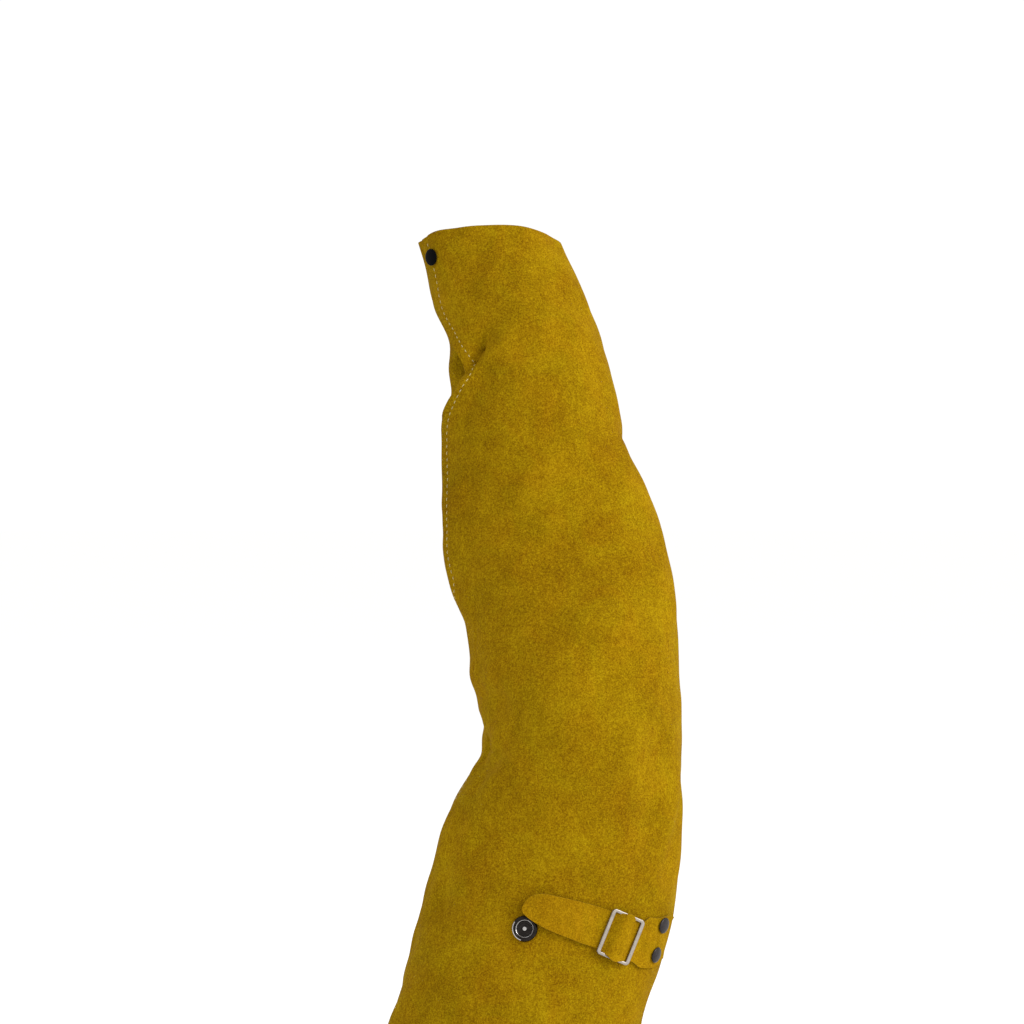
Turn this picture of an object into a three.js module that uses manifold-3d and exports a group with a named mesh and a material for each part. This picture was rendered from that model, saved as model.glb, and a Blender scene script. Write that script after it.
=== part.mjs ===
// A leather welding sleeve as it is worn on a raised arm, wrist end up.
// Millimetres, +Z up, +X to the wearer's outer side of the arm, +Y to the back.
// The origin is the centre of the upper arm opening.
import * as THREE from 'three';
import { mergeVertices } from 'three/addons/utils/BufferGeometryUtils.js';
import Module from 'manifold-3d';

// Driving dimensions of the leather
const SLEEVE_HEIGHT = 575; // centre of the upper arm opening to centre of the wrist opening, straight up
const UPPER_WIDTH = 172; // across the front of the upper arm
const UPPER_GIRTH = 480; // round the hem at the upper arm
const WRIST_GIRTH = 290; // round the wrist opening
const WALL = 1.5; // thickness of the split leather
const LAP = 24; // how far the back edge runs on under the front flap
const LAP_GAP = 0.35; // air between the two layers of the lap
const LAP_TURN = 14; // how far before the flap's edge the back panel starts to dip under it
const LAP_FLAT = 2; // how far before the flap's edge the dip is complete
const VENT_GAPE = 5; // how far the flap stands off where the wrist vent bulges open
const VENT_RECESS = 30; // degrees that the flap's edge is drawn back there
const VENT_DRAG = 9; // degrees that the underlap's edge is drawn after it
const CREASE_DEPTH = 7; // depth of a full crease in the leather
const CUFF_RISE = 3; // how much higher the cuff's edge is cut at the front right

// Driving dimensions of the strap on the upper arm
const STRAP_WALL = 1.6;
const STRAP_WIDTH = 27;
const STRAP_END_WIDTH = 37; // width of the riveted end
const FLARE_RUN = 8; // length of the widening beside the slide
const END_CORNER = 6; // how far the riveted end's corners are rounded
const END_CORNER_CUT = 3; // how much each side is cut in at the very end
const STRAP_LENGTH = 123;
const STRAP_GAP = 0.4; // air between the strap and the leather under it
const STRAP_TIP_LIFT = 4.6; // how far the free tip hangs off the leather
const TIP_ROUND = 15; // length of the rounded free tip
const TIP_FULLNESS = 2.2; // 2 rounds the tip as an ellipse, more makes it blunter
const TIP_LEAST = 0.005; // share of the width, squared, that is left at the very end
const TIP_TRIM = 4.4; // how much narrower the lower side is cut towards the tip
const TIP_TRIM_RUN = 44; // length of that taper

// Driving dimensions of the three bar slide
const SLIDE_SPAN = 33; // across the strap
const SLIDE_ALONG = 26.5; // along the strap
const SLIDE_BAR = 2.8; // width of a bar across the strap
const SLIDE_SIDE = 2.2; // width of the plate beside the strap
const SLIDE_THICK = 1.8; // thickness of the plate
const SLIDE_EDGE = 0.4; // how far its edges are rounded over
const WINDOW_ROUND = 1; // radius in the corners of its windows
const SLIDE_GAP = 0.5; // air between the slide and the strap
const SLIDE_CLEAR = 0.85; // how far beside a bar the strap is already level with it
const SLIDE_AT = 53; // from the riveted end of the strap to the middle bar

// Driving dimensions of the rivets and snaps
const RIVET_RADIUS = 5.5;
const RIVET_DOME = 1.7;
const HEAD_BRIM = 0.5; // upright edge below the dome of a rivet or cap
const SHANK_RADIUS = 1.6; // of the rivets and of the wrist snap's post
// Each rivet's place: along the strap from its riveted end, and down from its middle line
const UPPER_RIVET = { run: 15.5, across: -13 };
const LOWER_RIVET = { run: 20.7, across: 7.3 };
const BURR_RADIUS = 4.2; // the washer inside the sleeve
const SNAP_RADIUS = 8.7; // outer radius of the ring snap
const SNAP_BACK = 4; // from the strap's tip back to the ring snap
const SNAP_ASIDE = 12.75; // from the strap's middle line down to it
const SNAP_RIM = 2.4; // height of its rim
const SNAP_FLANGE = 6.5; // radius of its washer inside the sleeve
const CAP_RADIUS = 6; // wrist snap's cap
const CAP_DOME = 1.6;
const SOCKET_RADIUS = 5.2;
const SOCKET_DEPTH = 1.9; // thickness of the socket under the flap
const SOCKET_WEB = 0.7; // thickness of its floor
const SOCKET_PLAY = 0.6; // air round the stud's head in it
const STUD_RADIUS = 1.9;
const METAL_SHEET = 0.8; // thickness of washers and flanges
const SEAT_GAP = 0.5; // air between a flat washer and the curved leather on the convex side
const INNER_GAP = 1.15; // the same on the hollow side, where the leather curves to the washer
const BORE_GAP = 0.35; // air round a shank in its hole
const WRIST_SNAP_INSET = 10; // from the flap's edge
const WRIST_SNAP_DROP = 17.5; // below the cuff's edge

// How finely the leather is divided
const AROUND = 46;
const ALONG = 40;
const CROWDING = 0.05; // how much closer the points lie near the lap
const ROUND_SIDES = 16;
const DOME_STEPS = 4;
const STRAP_STEP = 5;
const STRAP_ACROSS = 4;
const TIP_STEPS = 6;
const COURSE_STEPS = 240;

// Sections of the sleeve from the hem up. at, side and back place the centre, as shares of
// SLEEVE_HEIGHT; wide is the front width and lip the proud seam, as shares of UPPER_WIDTH;
// tilt is how many degrees the right side hangs lower; seam is where the flap's edge lies, in
// degrees: 0 is right, 90 back, 180 left and 270 front.
const SECTIONS = [
  { at: 0.0, side: 0.0, back: 0.0, wide: 1.06, tilt: 16, seam: 166, lip: 0.0 },
  { at: 0.0705, side: 0.013, back: 0.0, wide: 0.994, tilt: 13, seam: 166, lip: 0.0 },
  { at: 0.1315, side: 0.0296, back: 0.0, wide: 0.998, tilt: 11, seam: 166, lip: 0.0 },
  { at: 0.192, side: 0.0461, back: 0.0, wide: 1.008, tilt: 8, seam: 167, lip: 0.0 },
  { at: 0.241, side: 0.0553, back: 0.0, wide: 0.995, tilt: 6, seam: 168, lip: 0.0 },
  { at: 0.289, side: 0.0657, back: 0.001, wide: 0.952, tilt: 5, seam: 169, lip: 0.0 },
  { at: 0.326, side: 0.0751, back: 0.002, wide: 0.899, tilt: 4, seam: 170, lip: 0.004 },
  { at: 0.356, side: 0.0804, back: 0.004, wide: 0.846, tilt: 3, seam: 171, lip: 0.01 },
  { at: 0.387, side: 0.0854, back: 0.006, wide: 0.808, tilt: 3, seam: 172, lip: 0.015 },
  { at: 0.421, side: 0.0816, back: 0.009, wide: 0.826, tilt: 3, seam: 174, lip: 0.02 },
  { at: 0.447, side: 0.0762, back: 0.012, wide: 0.857, tilt: 3, seam: 175, lip: 0.025 },
  { at: 0.484, side: 0.0758, back: 0.017, wide: 0.859, tilt: 2, seam: 177, lip: 0.03 },
  { at: 0.523, side: 0.0723, back: 0.023, wide: 0.869, tilt: 2, seam: 178, lip: 0.035 },
  { at: 0.557, side: 0.0642, back: 0.029, wide: 0.91, tilt: 1, seam: 180, lip: 0.04 },
  { at: 0.593, side: 0.0572, back: 0.035, wide: 0.925, tilt: 0, seam: 180, lip: 0.045 },
  { at: 0.642, side: 0.0496, back: 0.044, wide: 0.905, tilt: 0, seam: 183, lip: 0.045 },
  { at: 0.692, side: 0.0402, back: 0.053, wide: 0.847, tilt: 0, seam: 185, lip: 0.04 },
  { at: 0.742, side: 0.0279, back: 0.062, wide: 0.778, tilt: 0, seam: 188, lip: 0.03 },
  { at: 0.779, side: 0.0237, back: 0.069, wide: 0.739, tilt: 0, seam: 189, lip: 0.02 },
  { at: 0.797, side: 0.0242, back: 0.072, wide: 0.712, tilt: 0, seam: 189, lip: 0.01 },
  { at: 0.816, side: 0.0255, back: 0.076, wide: 0.677, tilt: 0, seam: 189, lip: 0.005 },
  { at: 0.847, side: 0.0203, back: 0.082, wide: 0.674, tilt: 0, seam: 189, lip: 0.0 },
  { at: 0.879, side: 0.0159, back: 0.089, wide: 0.65, tilt: 1, seam: 189, lip: 0.0 },
  { at: 0.917, side: 0.0012, back: 0.097, wide: 0.657, tilt: 2, seam: 193, lip: 0.0 },
  { at: 0.955, side: -0.0111, back: 0.106, wide: 0.627, tilt: 2, seam: 199, lip: 0.0 },
  { at: 1.0, side: -0.027, back: 0.115, wide: 0.609, tilt: 2, seam: 201, lip: 0.0 },
];

// Soft creases and ridges. Each runs from one place to another, given as a share of
// SLEEVE_HEIGHT and an angle; reach is its half width as a share of UPPER_WIDTH, and rise its
// height as a share of CREASE_DEPTH, less than nothing for a valley.
const FOLDS = {
  ventValley: { from: [0.868, 239], to: [0.828, 226], reach: 0.045, rise: -0.55 },
  ventRidge: { from: [0.82, 222], to: [0.776, 191], reach: 0.05, rise: 0.3 },
  innerElbowUpper: { from: [0.45, 150], to: [0.425, 214], reach: 0.055, rise: -0.45 },
  innerElbowRidge: { from: [0.395, 150], to: [0.385, 205], reach: 0.05, rise: 0.3 },
  innerElbowLower: { from: [0.365, 140], to: [0.35, 212], reach: 0.06, rise: -0.6 },
  lowerLeftValley: { from: [0.31, 205], to: [0.17, 212], reach: 0.06, rise: -0.35 },
  rightValley: { from: [0.4, 318], to: [0.26, 312], reach: 0.07, rise: -0.3 },
  rightRidge: { from: [0.39, 333], to: [0.06, 323], reach: 0.09, rise: 0.25 },
  rightDent: { from: [0.335, 352], to: [0.245, 330], reach: 0.05, rise: -0.5 },
  forearmDent: { from: [0.75, 352], to: [0.735, 20], reach: 0.06, rise: -0.35 },
  backElbowUpper: { from: [0.47, 40], to: [0.435, 110], reach: 0.07, rise: -0.7 },
  backElbowLower: { from: [0.37, 55], to: [0.35, 130], reach: 0.07, rise: -0.7 },
  backDrape: { from: [0.24, 75], to: [0.05, 70], reach: 0.1, rise: -0.6 },
  backSwell: { from: [0.25, 115], to: [0.05, 112], reach: 0.1, rise: 0.4 },
};

// Where the cuff rises and the vent bulges open: angles and reaches round the arm in degrees,
// heights as shares of SLEEVE_HEIGHT
const CUFF_RISE_ANGLE = 305;
const CUFF_RISE_REACH = 40;
const VENT_AT = 0.833;
const VENT_HALF_HEIGHT = 0.047;
const VENT_LIFT_REACH = 22;
const VENT_RECESS_REACH = 38;

// Course of the strap's middle line over the leather, from its riveted end on past its tip
const STRAP_COURSE = [
  { angle: 349, at: 0.176 },
  { angle: 331, at: 0.168 },
  { angle: 311, at: 0.1705 },
  { angle: 290, at: 0.182 },
  { angle: 265, at: 0.1885 },
  { angle: 235, at: 0.192 },
];

// Profile of the ring snap above its seat, from the rim in to the middle, as shares of
// SNAP_RADIUS and SNAP_RIM: a rolled rim, a dished floor and a round knob
const RING_PROFILE = [
  { out: 1.0, up: 0.0 },
  { out: 1.0, up: 0.5 },
  { out: 0.93, up: 0.85 },
  { out: 0.84, up: 1.0 },
  { out: 0.74, up: 0.9 },
  { out: 0.66, up: 0.4 },
  { out: 0.26, up: 0.35 },
  { out: 0.23, up: 0.72 },
  { out: 0.13, up: 0.89 },
  { out: 0.0, up: 0.95 },
];

const RADIANS = Math.PI / 180;
const PROBE_ANGLE = 0.5; // steps by which slopes of the leather are measured
const PROBE_AT = 0.002;

// Value of a column of SECTIONS at any height, on a smooth curve through the rows
function sectionValue(column, at) {
  let i = 0;
  while (i < SECTIONS.length - 2 && at > SECTIONS[i + 1].at) i += 1;
  const before = SECTIONS[Math.max(i - 1, 0)];
  const low = SECTIONS[i];
  const high = SECTIONS[i + 1];
  const after = SECTIONS[Math.min(i + 2, SECTIONS.length - 1)];
  const step = high.at - low.at;
  const share = (at - low.at) / step;
  const slopeLow = ((high[column] - before[column]) / (high.at - before.at)) * step;
  const slopeHigh = ((after[column] - low[column]) / (after.at - low.at)) * step;
  const s2 = share * share;
  const s3 = s2 * share;
  const rise = 3 * s2 - 2 * s3;
  return low[column] * (1 - rise) + high[column] * rise
    + slopeLow * (s3 - 2 * s2 + share) + slopeHigh * (s3 - s2);
}

const smooth = (x) => THREE.MathUtils.smoothstep(x, 0, 1);
const bell = (x) => Math.exp(-x * x);
const turned = (angle) => THREE.MathUtils.euclideanModulo(angle + 180, 360) - 180;

// The leather is cut as a plain taper, so its girth changes evenly from hem to cuff
const girthAt = (at) => UPPER_GIRTH + (WRIST_GIRTH - UPPER_GIRTH) * at;
const arcRadius = (at) => girthAt(at) / (2 * Math.PI);

function centreAt(at) {
  return new THREE.Vector3(
    sectionValue('side', at), sectionValue('back', at), at,
  ).multiplyScalar(SLEEVE_HEIGHT);
}

// Centre, side axis, back axis and half axes of the section at one height
function sectionAt(at) {
  const probe = 5 * PROBE_AT;
  const tilt = sectionValue('tilt', at) * RADIANS;
  const lip = sectionValue('lip', at) * UPPER_WIDTH;
  const halfWidth = (sectionValue('wide', at) * UPPER_WIDTH - lip) / 2;
  const side = new THREE.Vector3(Math.cos(tilt), 0, -Math.sin(tilt));
  const rising = centreAt(at + probe).sub(centreAt(at - probe)).normalize();
  const back = rising.cross(side).normalize();
  const centre = centreAt(at).addScaledVector(side, lip / 2);
  return { centre, side, back, halfWidth, halfDepth: girthAt(at) / Math.PI - halfWidth, lip };
}

// How far folds and the proud seam move the leather outwards
function foldRise(angle, at) {
  let rise = 0;
  for (const fold of Object.values(FOLDS)) {
    const run = new THREE.Vector2(
      turned(fold.to[1] - fold.from[1]) * RADIANS * arcRadius(at),
      (fold.to[0] - fold.from[0]) * SLEEVE_HEIGHT,
    );
    const here = new THREE.Vector2(
      turned(angle - fold.from[1]) * RADIANS * arcRadius(at),
      (at - fold.from[0]) * SLEEVE_HEIGHT,
    );
    const share = THREE.MathUtils.clamp(here.dot(run) / run.lengthSq(), 0, 1);
    const away = here.addScaledVector(run, -share).length();
    rise += fold.rise * CREASE_DEPTH * bell(away / (fold.reach * UPPER_WIDTH));
  }
  return rise;
}

const LIP_SPREAD = 11; // degrees over which the proud seam fades into the section
const LIP_ROUND = 3.5; // degrees over which its tip is rounded
function lipRise(angle, at, lip) {
  const off = turned(angle - sectionValue('seam', at) - 1);
  return lip * Math.exp((LIP_ROUND - Math.hypot(off, LIP_ROUND)) / LIP_SPREAD);
}

// A point of the sleeve's outer face, before its layers part, raised by lift
function skinPoint(angle, at, lift = 0) {
  const s = sectionAt(at);
  const c = Math.cos(angle * RADIANS);
  const d = Math.sin(angle * RADIANS);
  const out = new THREE.Vector2(c / s.halfWidth, d / s.halfDepth).normalize();
  const rise = lift + foldRise(angle, at) + lipRise(angle, at, s.lip);
  return s.centre
    .addScaledVector(s.side, s.halfWidth * c + out.x * rise)
    .addScaledVector(s.back, s.halfDepth * d + out.y * rise);
}

// Places on the sheet are told by the millimetres past the flap's edge
const flapEdge = (at) => sectionValue('seam', at);
const lapDegrees = (at) => LAP / (arcRadius(at) * RADIANS);

// How far the vent stands open at one height
const ventShare = (at) => bell((at - VENT_AT) / VENT_HALF_HEIGHT);

const snapAt = 1 - WRIST_SNAP_DROP / SLEEVE_HEIGHT;
const WRIST_SNAP = {
  angle: flapEdge(snapAt) + WRIST_SNAP_INSET / (arcRadius(snapAt) * RADIANS),
  at: snapAt,
};
const SNAP_ROOM = INNER_GAP + SOCKET_DEPTH + INNER_GAP; // between the layers at the wrist snap
const SNAP_SWELL = 20; // how far round the snap the leather is raised

// A point of the outer face of the sheet itself. The angle runs on from the flap's edge, round
// the front, right and back, to the underlap beneath the flap.
function sheetPoint(angle, at) {
  const past = angle - flapEdge(at);
  const onFlap = past < 180 ? 1 : 0;
  const toLap = (past - 360) * RADIANS * arcRadius(at);
  const vent = ventShare(at);
  const snapAway = Math.hypot(
    turned(angle - WRIST_SNAP.angle) * RADIANS * arcRadius(at),
    (at - WRIST_SNAP.at) * SLEEVE_HEIGHT,
  );
  const gape = VENT_GAPE * vent * bell(past / VENT_LIFT_REACH) * onFlap;
  const swell = (SNAP_ROOM - LAP_GAP) * bell(snapAway / SNAP_SWELL) * onFlap;
  const dip = (WALL + LAP_GAP) * smooth((toLap + LAP_TURN) / (LAP_TURN - LAP_FLAT));
  const press = VENT_GAPE * vent * smooth((toLap + LAP_TURN) / LAP);
  const shift = VENT_RECESS * vent * bell(past / VENT_RECESS_REACH) * onFlap;
  const drag = VENT_DRAG * vent * smooth(toLap / LAP);
  return skinPoint(angle + shift + drag, at, gape + swell - dip - press);
}

// Unit normal of a surface given as a function of angle and height
function normalOf(surface, angle, at) {
  const across = surface(angle + PROBE_ANGLE, at).sub(surface(angle - PROBE_ANGLE, at));
  const up = surface(angle, at + PROBE_AT).sub(surface(angle, at - PROBE_AT));
  return across.cross(up).normalize();
}

// Turns rows of rings, each a closed loop of points, into one closed mesh
function closedMesh(rings) {
  const count = rings[0].length;
  const positions = [];
  const faces = [];
  for (const ring of rings) {
    for (const p of ring) positions.push(p.x, p.y, p.z);
  }
  for (let j = 0; j < rings.length - 1; j += 1) {
    for (let i = 0; i < count; i += 1) {
      const a = j * count + i;
      const b = j * count + ((i + 1) % count);
      faces.push(a, b, b + count, a, b + count, a + count);
    }
  }
  // A ring is an outer row there and an inner row back, so its ends are closed in pairs
  const half = count / 2;
  for (let i = 0; i < half - 1; i += 1) {
    const back = count - 1 - i;
    const top = (rings.length - 1) * count;
    faces.push(i, back, back - 1, i, back - 1, i + 1);
    faces.push(top + i, top + i + 1, top + back - 1, top + i, top + back - 1, top + back);
  }
  const geometry = new THREE.BufferGeometry();
  geometry.setAttribute('position', new THREE.Float32BufferAttribute(positions, 3));
  geometry.setIndex(faces);
  return geometry;
}

// Joining and cutting of closed meshes
const wasm = await Module();
wasm.setup();

function solidOf(geometry) {
  const bare = geometry.clone();
  bare.deleteAttribute('normal');
  bare.deleteAttribute('uv');
  const merged = mergeVertices(bare, 1e-4);
  return new wasm.Manifold(new wasm.Mesh({
    numProp: 3,
    vertProperties: merged.attributes.position.array,
    triVerts: new Uint32Array(merged.index.array),
  }));
}

function geometryOf(solid) {
  const mesh = solid.getMesh();
  const geometry = new THREE.BufferGeometry();
  geometry.setAttribute('position', new THREE.BufferAttribute(mesh.vertProperties, 3));
  geometry.setIndex(new THREE.BufferAttribute(mesh.triVerts, 1));
  geometry.computeVertexNormals();
  return geometry;
}

// A frame on the leather: its z axis points out of it, its y axis up the arm
function frameFrom(point, normal, along) {
  const x = along.clone().addScaledVector(normal, -along.dot(normal)).normalize();
  const y = normal.clone().cross(x);
  return new THREE.Matrix4().makeBasis(x, y, normal).setPosition(point);
}

function frameOnSheet({ angle, at }) {
  const across = sheetPoint(angle + PROBE_ANGLE, at).sub(sheetPoint(angle - PROBE_ANGLE, at));
  return frameFrom(sheetPoint(angle, at), normalOf(sheetPoint, angle, at), across);
}

// Course of the strap over the leather. Distances run from its riveted end to its tip.
const courseCurve = new THREE.SplineCurve(
  STRAP_COURSE.map((row) => new THREE.Vector2(row.angle, row.at)),
);
const course = [];
for (let i = 0; i <= COURSE_STEPS; i += 1) {
  const { x: angle, y: at } = courseCurve.getPoint(i / COURSE_STEPS);
  const point = skinPoint(angle, at);
  const last = course[course.length - 1];
  const run = last ? last.run + point.distanceTo(last.point) : 0;
  course.push({ angle, at, point, run });
}

// The place on the leather nearest to a point, found from a guess by stepping along the surface
function nearestPlace(target, angle, at) {
  const place = { angle, at };
  for (let step = 0; step < 3; step += 1) {
    const here = skinPoint(place.angle, place.at);
    const across = skinPoint(place.angle + PROBE_ANGLE, place.at).sub(here);
    const up = skinPoint(place.angle, place.at + PROBE_AT).sub(here);
    const off = target.clone().sub(here);
    const a = across.lengthSq();
    const b = across.dot(up);
    const c = up.lengthSq();
    const p = off.dot(across);
    const q = off.dot(up);
    const scale = a * c - b * b;
    place.angle += (PROBE_ANGLE * (p * c - q * b)) / scale;
    place.at += (PROBE_AT * (q * a - p * b)) / scale;
  }
  return place;
}

// Frame on the leather under the strap, a distance along its course and a distance across it
function courseAt(run, across = 0) {
  let i = 0;
  while (i < course.length - 2 && course[i + 1].run < run) i += 1;
  const share = (run - course[i].run) / (course[i + 1].run - course[i].run);
  const angle = THREE.MathUtils.lerp(course[i].angle, course[i + 1].angle, share);
  const at = THREE.MathUtils.lerp(course[i].at, course[i + 1].at, share);
  const ahead = course[i + 1].point.clone().sub(course[i].point);
  const middle = frameFrom(skinPoint(angle, at), normalOf(skinPoint, angle, at), ahead);
  if (across === 0) return middle;
  const target = new THREE.Vector3(0, across, 0).applyMatrix4(middle);
  const place = nearestPlace(target, angle, at);
  const normal = normalOf(skinPoint, place.angle, place.at);
  return frameFrom(skinPoint(place.angle, place.at), normal, ahead);
}

// The slide is a flat plate seated on the strap where the strap passes under its end bars
const barOut = (SLIDE_ALONG - SLIDE_BAR) / 2;
const slideFrame = courseAt(SLIDE_AT);
const toSlide = slideFrame.clone().invert();
const underBar = (run) => new THREE.Vector3().setFromMatrixPosition(courseAt(run))
  .applyMatrix4(toSlide).z;
const leatherUnderBars = Math.max(underBar(SLIDE_AT - barOut), underBar(SLIDE_AT + barOut));
const slideSeat = leatherUnderBars + STRAP_GAP + STRAP_WALL + SLIDE_GAP;
const strapOverBar = slideSeat + SLIDE_THICK + SLIDE_GAP;

// How far the strap's underside lies off the leather
function strapLift(run) {
  const fromBar = Math.abs(run - SLIDE_AT);
  const flat = SLIDE_BAR / 2 + SLIDE_CLEAR;
  const down = barOut - SLIDE_BAR / 2 - SLIDE_CLEAR;
  const over = 1 - smooth((fromBar - flat) / (down - flat));
  const freeRun = SLIDE_AT + SLIDE_ALONG;
  const tip = smooth((run - freeRun) / (STRAP_LENGTH - freeRun));
  return STRAP_GAP + (strapOverBar - STRAP_GAP) * over + (STRAP_TIP_LIFT - STRAP_GAP) * tip;
}

// Width of the strap to one side of its middle line: wide at the rivets, even along the
// middle, rounded at the tip. The lower side, on the positive hand, tapers before the tip.
function strapHalfWidth(run, side) {
  const flare = smooth((SLIDE_AT - SLIDE_ALONG / 2 - run) / FLARE_RUN);
  const corner = END_CORNER_CUT * (1 - smooth(run / END_CORNER));
  const even = STRAP_WIDTH / 2 + ((STRAP_END_WIDTH - STRAP_WIDTH) / 2) * flare - corner;
  const intoTrim = (run - (STRAP_LENGTH - TIP_TRIM_RUN)) / TIP_TRIM_RUN;
  const trimmed = even - (side > 0 ? TIP_TRIM * Math.max(intoTrim, 0) : 0);
  const intoTip = Math.max((run - (STRAP_LENGTH - TIP_ROUND)) / TIP_ROUND, 0);
  return trimmed * Math.sqrt(Math.max(1 - intoTip ** TIP_FULLNESS, TIP_LEAST));
}

// The strap is divided finely in the slide and at its tip, and coarsely between
function strapGeometry() {
  const slideStart = SLIDE_AT - SLIDE_ALONG / 2;
  const slideEnd = SLIDE_AT + SLIDE_ALONG / 2;
  const tipStart = STRAP_LENGTH - TIP_ROUND;
  const stretches = [
    { from: 0, to: slideStart, step: STRAP_STEP },
    { from: slideStart, to: slideEnd, step: STRAP_STEP / 3 },
    { from: slideEnd, to: tipStart, step: STRAP_STEP * 1.5 },
  ];
  const runs = [0];
  for (const { from, to, step } of stretches) {
    const count = Math.ceil((to - from) / step);
    for (let i = 1; i <= count; i += 1) runs.push(from + ((to - from) * i) / count);
  }
  for (let i = 1; i <= TIP_STEPS; i += 1) {
    runs.push(tipStart + TIP_ROUND * Math.sin((i / TIP_STEPS) * (Math.PI / 2)));
  }
  const rings = runs.map((run) => {
    const lift = strapLift(run);
    const ring = [];
    for (const [height, sign] of [[lift + STRAP_WALL, 1], [lift, -1]]) {
      for (let i = 0; i <= STRAP_ACROSS; i += 1) {
        const share = sign * ((2 * i) / STRAP_ACROSS - 1);
        const across = share * strapHalfWidth(run, share);
        ring.push(new THREE.Vector3(0, 0, height).applyMatrix4(courseAt(run, across)));
      }
    }
    return ring.reverse();
  });
  return closedMesh(rings);
}

// Round metal parts are turned about the z axis of their frame
function turnedPart(profile) {
  const points = profile.map(([r, z]) => new THREE.Vector2(r, z));
  return new THREE.LatheGeometry(points, ROUND_SIDES).rotateX(Math.PI / 2);
}

// Profiles run from the lowest point on the axis, out and up, to the highest point on it
function domePoints(radius, base, rise) {
  const points = [];
  for (let i = 1; i < DOME_STEPS; i += 1) {
    const turn = (i / DOME_STEPS) * (Math.PI / 2);
    points.push([radius * Math.cos(turn), base + rise * Math.sin(turn)]);
  }
  return [...points, [0, base + rise]];
}

function rivetGeometry() {
  const seat = STRAP_GAP + STRAP_WALL + SEAT_GAP;
  const burr = -WALL - INNER_GAP;
  return turnedPart([
    [0, burr - METAL_SHEET],
    [BURR_RADIUS, burr - METAL_SHEET],
    [BURR_RADIUS, burr],
    [SHANK_RADIUS, burr],
    [SHANK_RADIUS, seat],
    [RIVET_RADIUS, seat],
    [RIVET_RADIUS, seat + HEAD_BRIM],
    ...domePoints(RIVET_RADIUS, seat + HEAD_BRIM, RIVET_DOME - HEAD_BRIM),
  ]);
}

// The ring snap, with its tube through the leather and its washer inside
function armSnapGeometry() {
  const flange = -WALL - INNER_GAP;
  return turnedPart([
    [0, flange - METAL_SHEET],
    [SNAP_FLANGE, flange - METAL_SHEET],
    [SNAP_FLANGE, flange],
    [STUD_RADIUS, flange],
    [STUD_RADIUS, SEAT_GAP],
    ...RING_PROFILE.map(({ out, up }) => [out * SNAP_RADIUS, SEAT_GAP + up * SNAP_RIM]),
  ]);
}

// The wrist snap's cap, with its post and the socket behind the flap
function wristCapGeometry() {
  const socketTop = -WALL - INNER_GAP;
  const socketBottom = socketTop - SOCKET_DEPTH;
  const bowl = STUD_RADIUS + SOCKET_PLAY;
  return turnedPart([
    [0, socketTop - SOCKET_WEB],
    [bowl, socketTop - SOCKET_WEB],
    [bowl, socketBottom],
    [SOCKET_RADIUS, socketBottom],
    [SOCKET_RADIUS, socketTop],
    [SHANK_RADIUS, socketTop],
    [SHANK_RADIUS, SEAT_GAP],
    [CAP_RADIUS, SEAT_GAP],
    [CAP_RADIUS, SEAT_GAP + HEAD_BRIM],
    ...domePoints(CAP_RADIUS, SEAT_GAP + HEAD_BRIM, CAP_DOME - HEAD_BRIM),
  ]);
}

// The stud on the underlap, its head up inside the socket and its flange inside the sleeve
function wristStudGeometry() {
  const underlap = -WALL - SNAP_ROOM;
  const headTop = -WALL - INNER_GAP - SOCKET_WEB - BORE_GAP;
  const flange = underlap - WALL - INNER_GAP;
  const flare = STUD_RADIUS - SHANK_RADIUS;
  return turnedPart([
    [0, flange - METAL_SHEET],
    [SOCKET_RADIUS, flange - METAL_SHEET],
    [SOCKET_RADIUS, flange],
    [SHANK_RADIUS, flange],
    [SHANK_RADIUS, underlap + SEAT_GAP],
    [STUD_RADIUS, underlap + SEAT_GAP + flare],
    [STUD_RADIUS, headTop - flare],
    [SHANK_RADIUS, headTop],
    [0, headTop],
  ]);
}

// Outline of a rectangle with round corners, each corner an arc of a few points
function roundedOutline(left, right, bottom, top, radius) {
  const steps = 4;
  const arc = new THREE.Vector2(radius, 0);
  const nudge = new THREE.Vector2();
  const centres = [
    [right - radius, top - radius],
    [left + radius, top - radius],
    [left + radius, bottom + radius],
    [right - radius, bottom + radius],
  ];
  return centres.flatMap(([x, y], quarter) => {
    const corner = [];
    for (let i = 0; i <= steps; i += 1) {
      const turn = (quarter + i / steps) * (Math.PI / 2);
      nudge.copy(arc).rotateAround(new THREE.Vector2(), turn);
      corner.push(new THREE.Vector2(x, y).add(nudge));
    }
    return corner;
  });
}

// The three bar slide: a stamped plate with two windows, its edges rounded over
function slideGeometry() {
  const x = SLIDE_ALONG / 2;
  const y = SLIDE_SPAN / 2;
  const plate = new THREE.Shape(roundedOutline(-x, x, -y, y, SLIDE_BAR));
  const near = SLIDE_BAR / 2;
  const far = x - SLIDE_BAR;
  const reach = y - SLIDE_SIDE;
  for (const [left, right] of [[-far, -near], [near, far]]) {
    plate.holes.push(new THREE.Path(roundedOutline(left, right, -reach, reach, WINDOW_ROUND)));
  }
  return new THREE.ExtrudeGeometry(plate, {
    depth: SLIDE_THICK - 2 * SLIDE_EDGE,
    bevelEnabled: true,
    bevelSize: SLIDE_EDGE,
    bevelOffset: -SLIDE_EDGE,
    bevelThickness: SLIDE_EDGE,
    bevelSegments: 2,
  }).translate(0, 0, slideSeat + SLIDE_EDGE);
}

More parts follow.
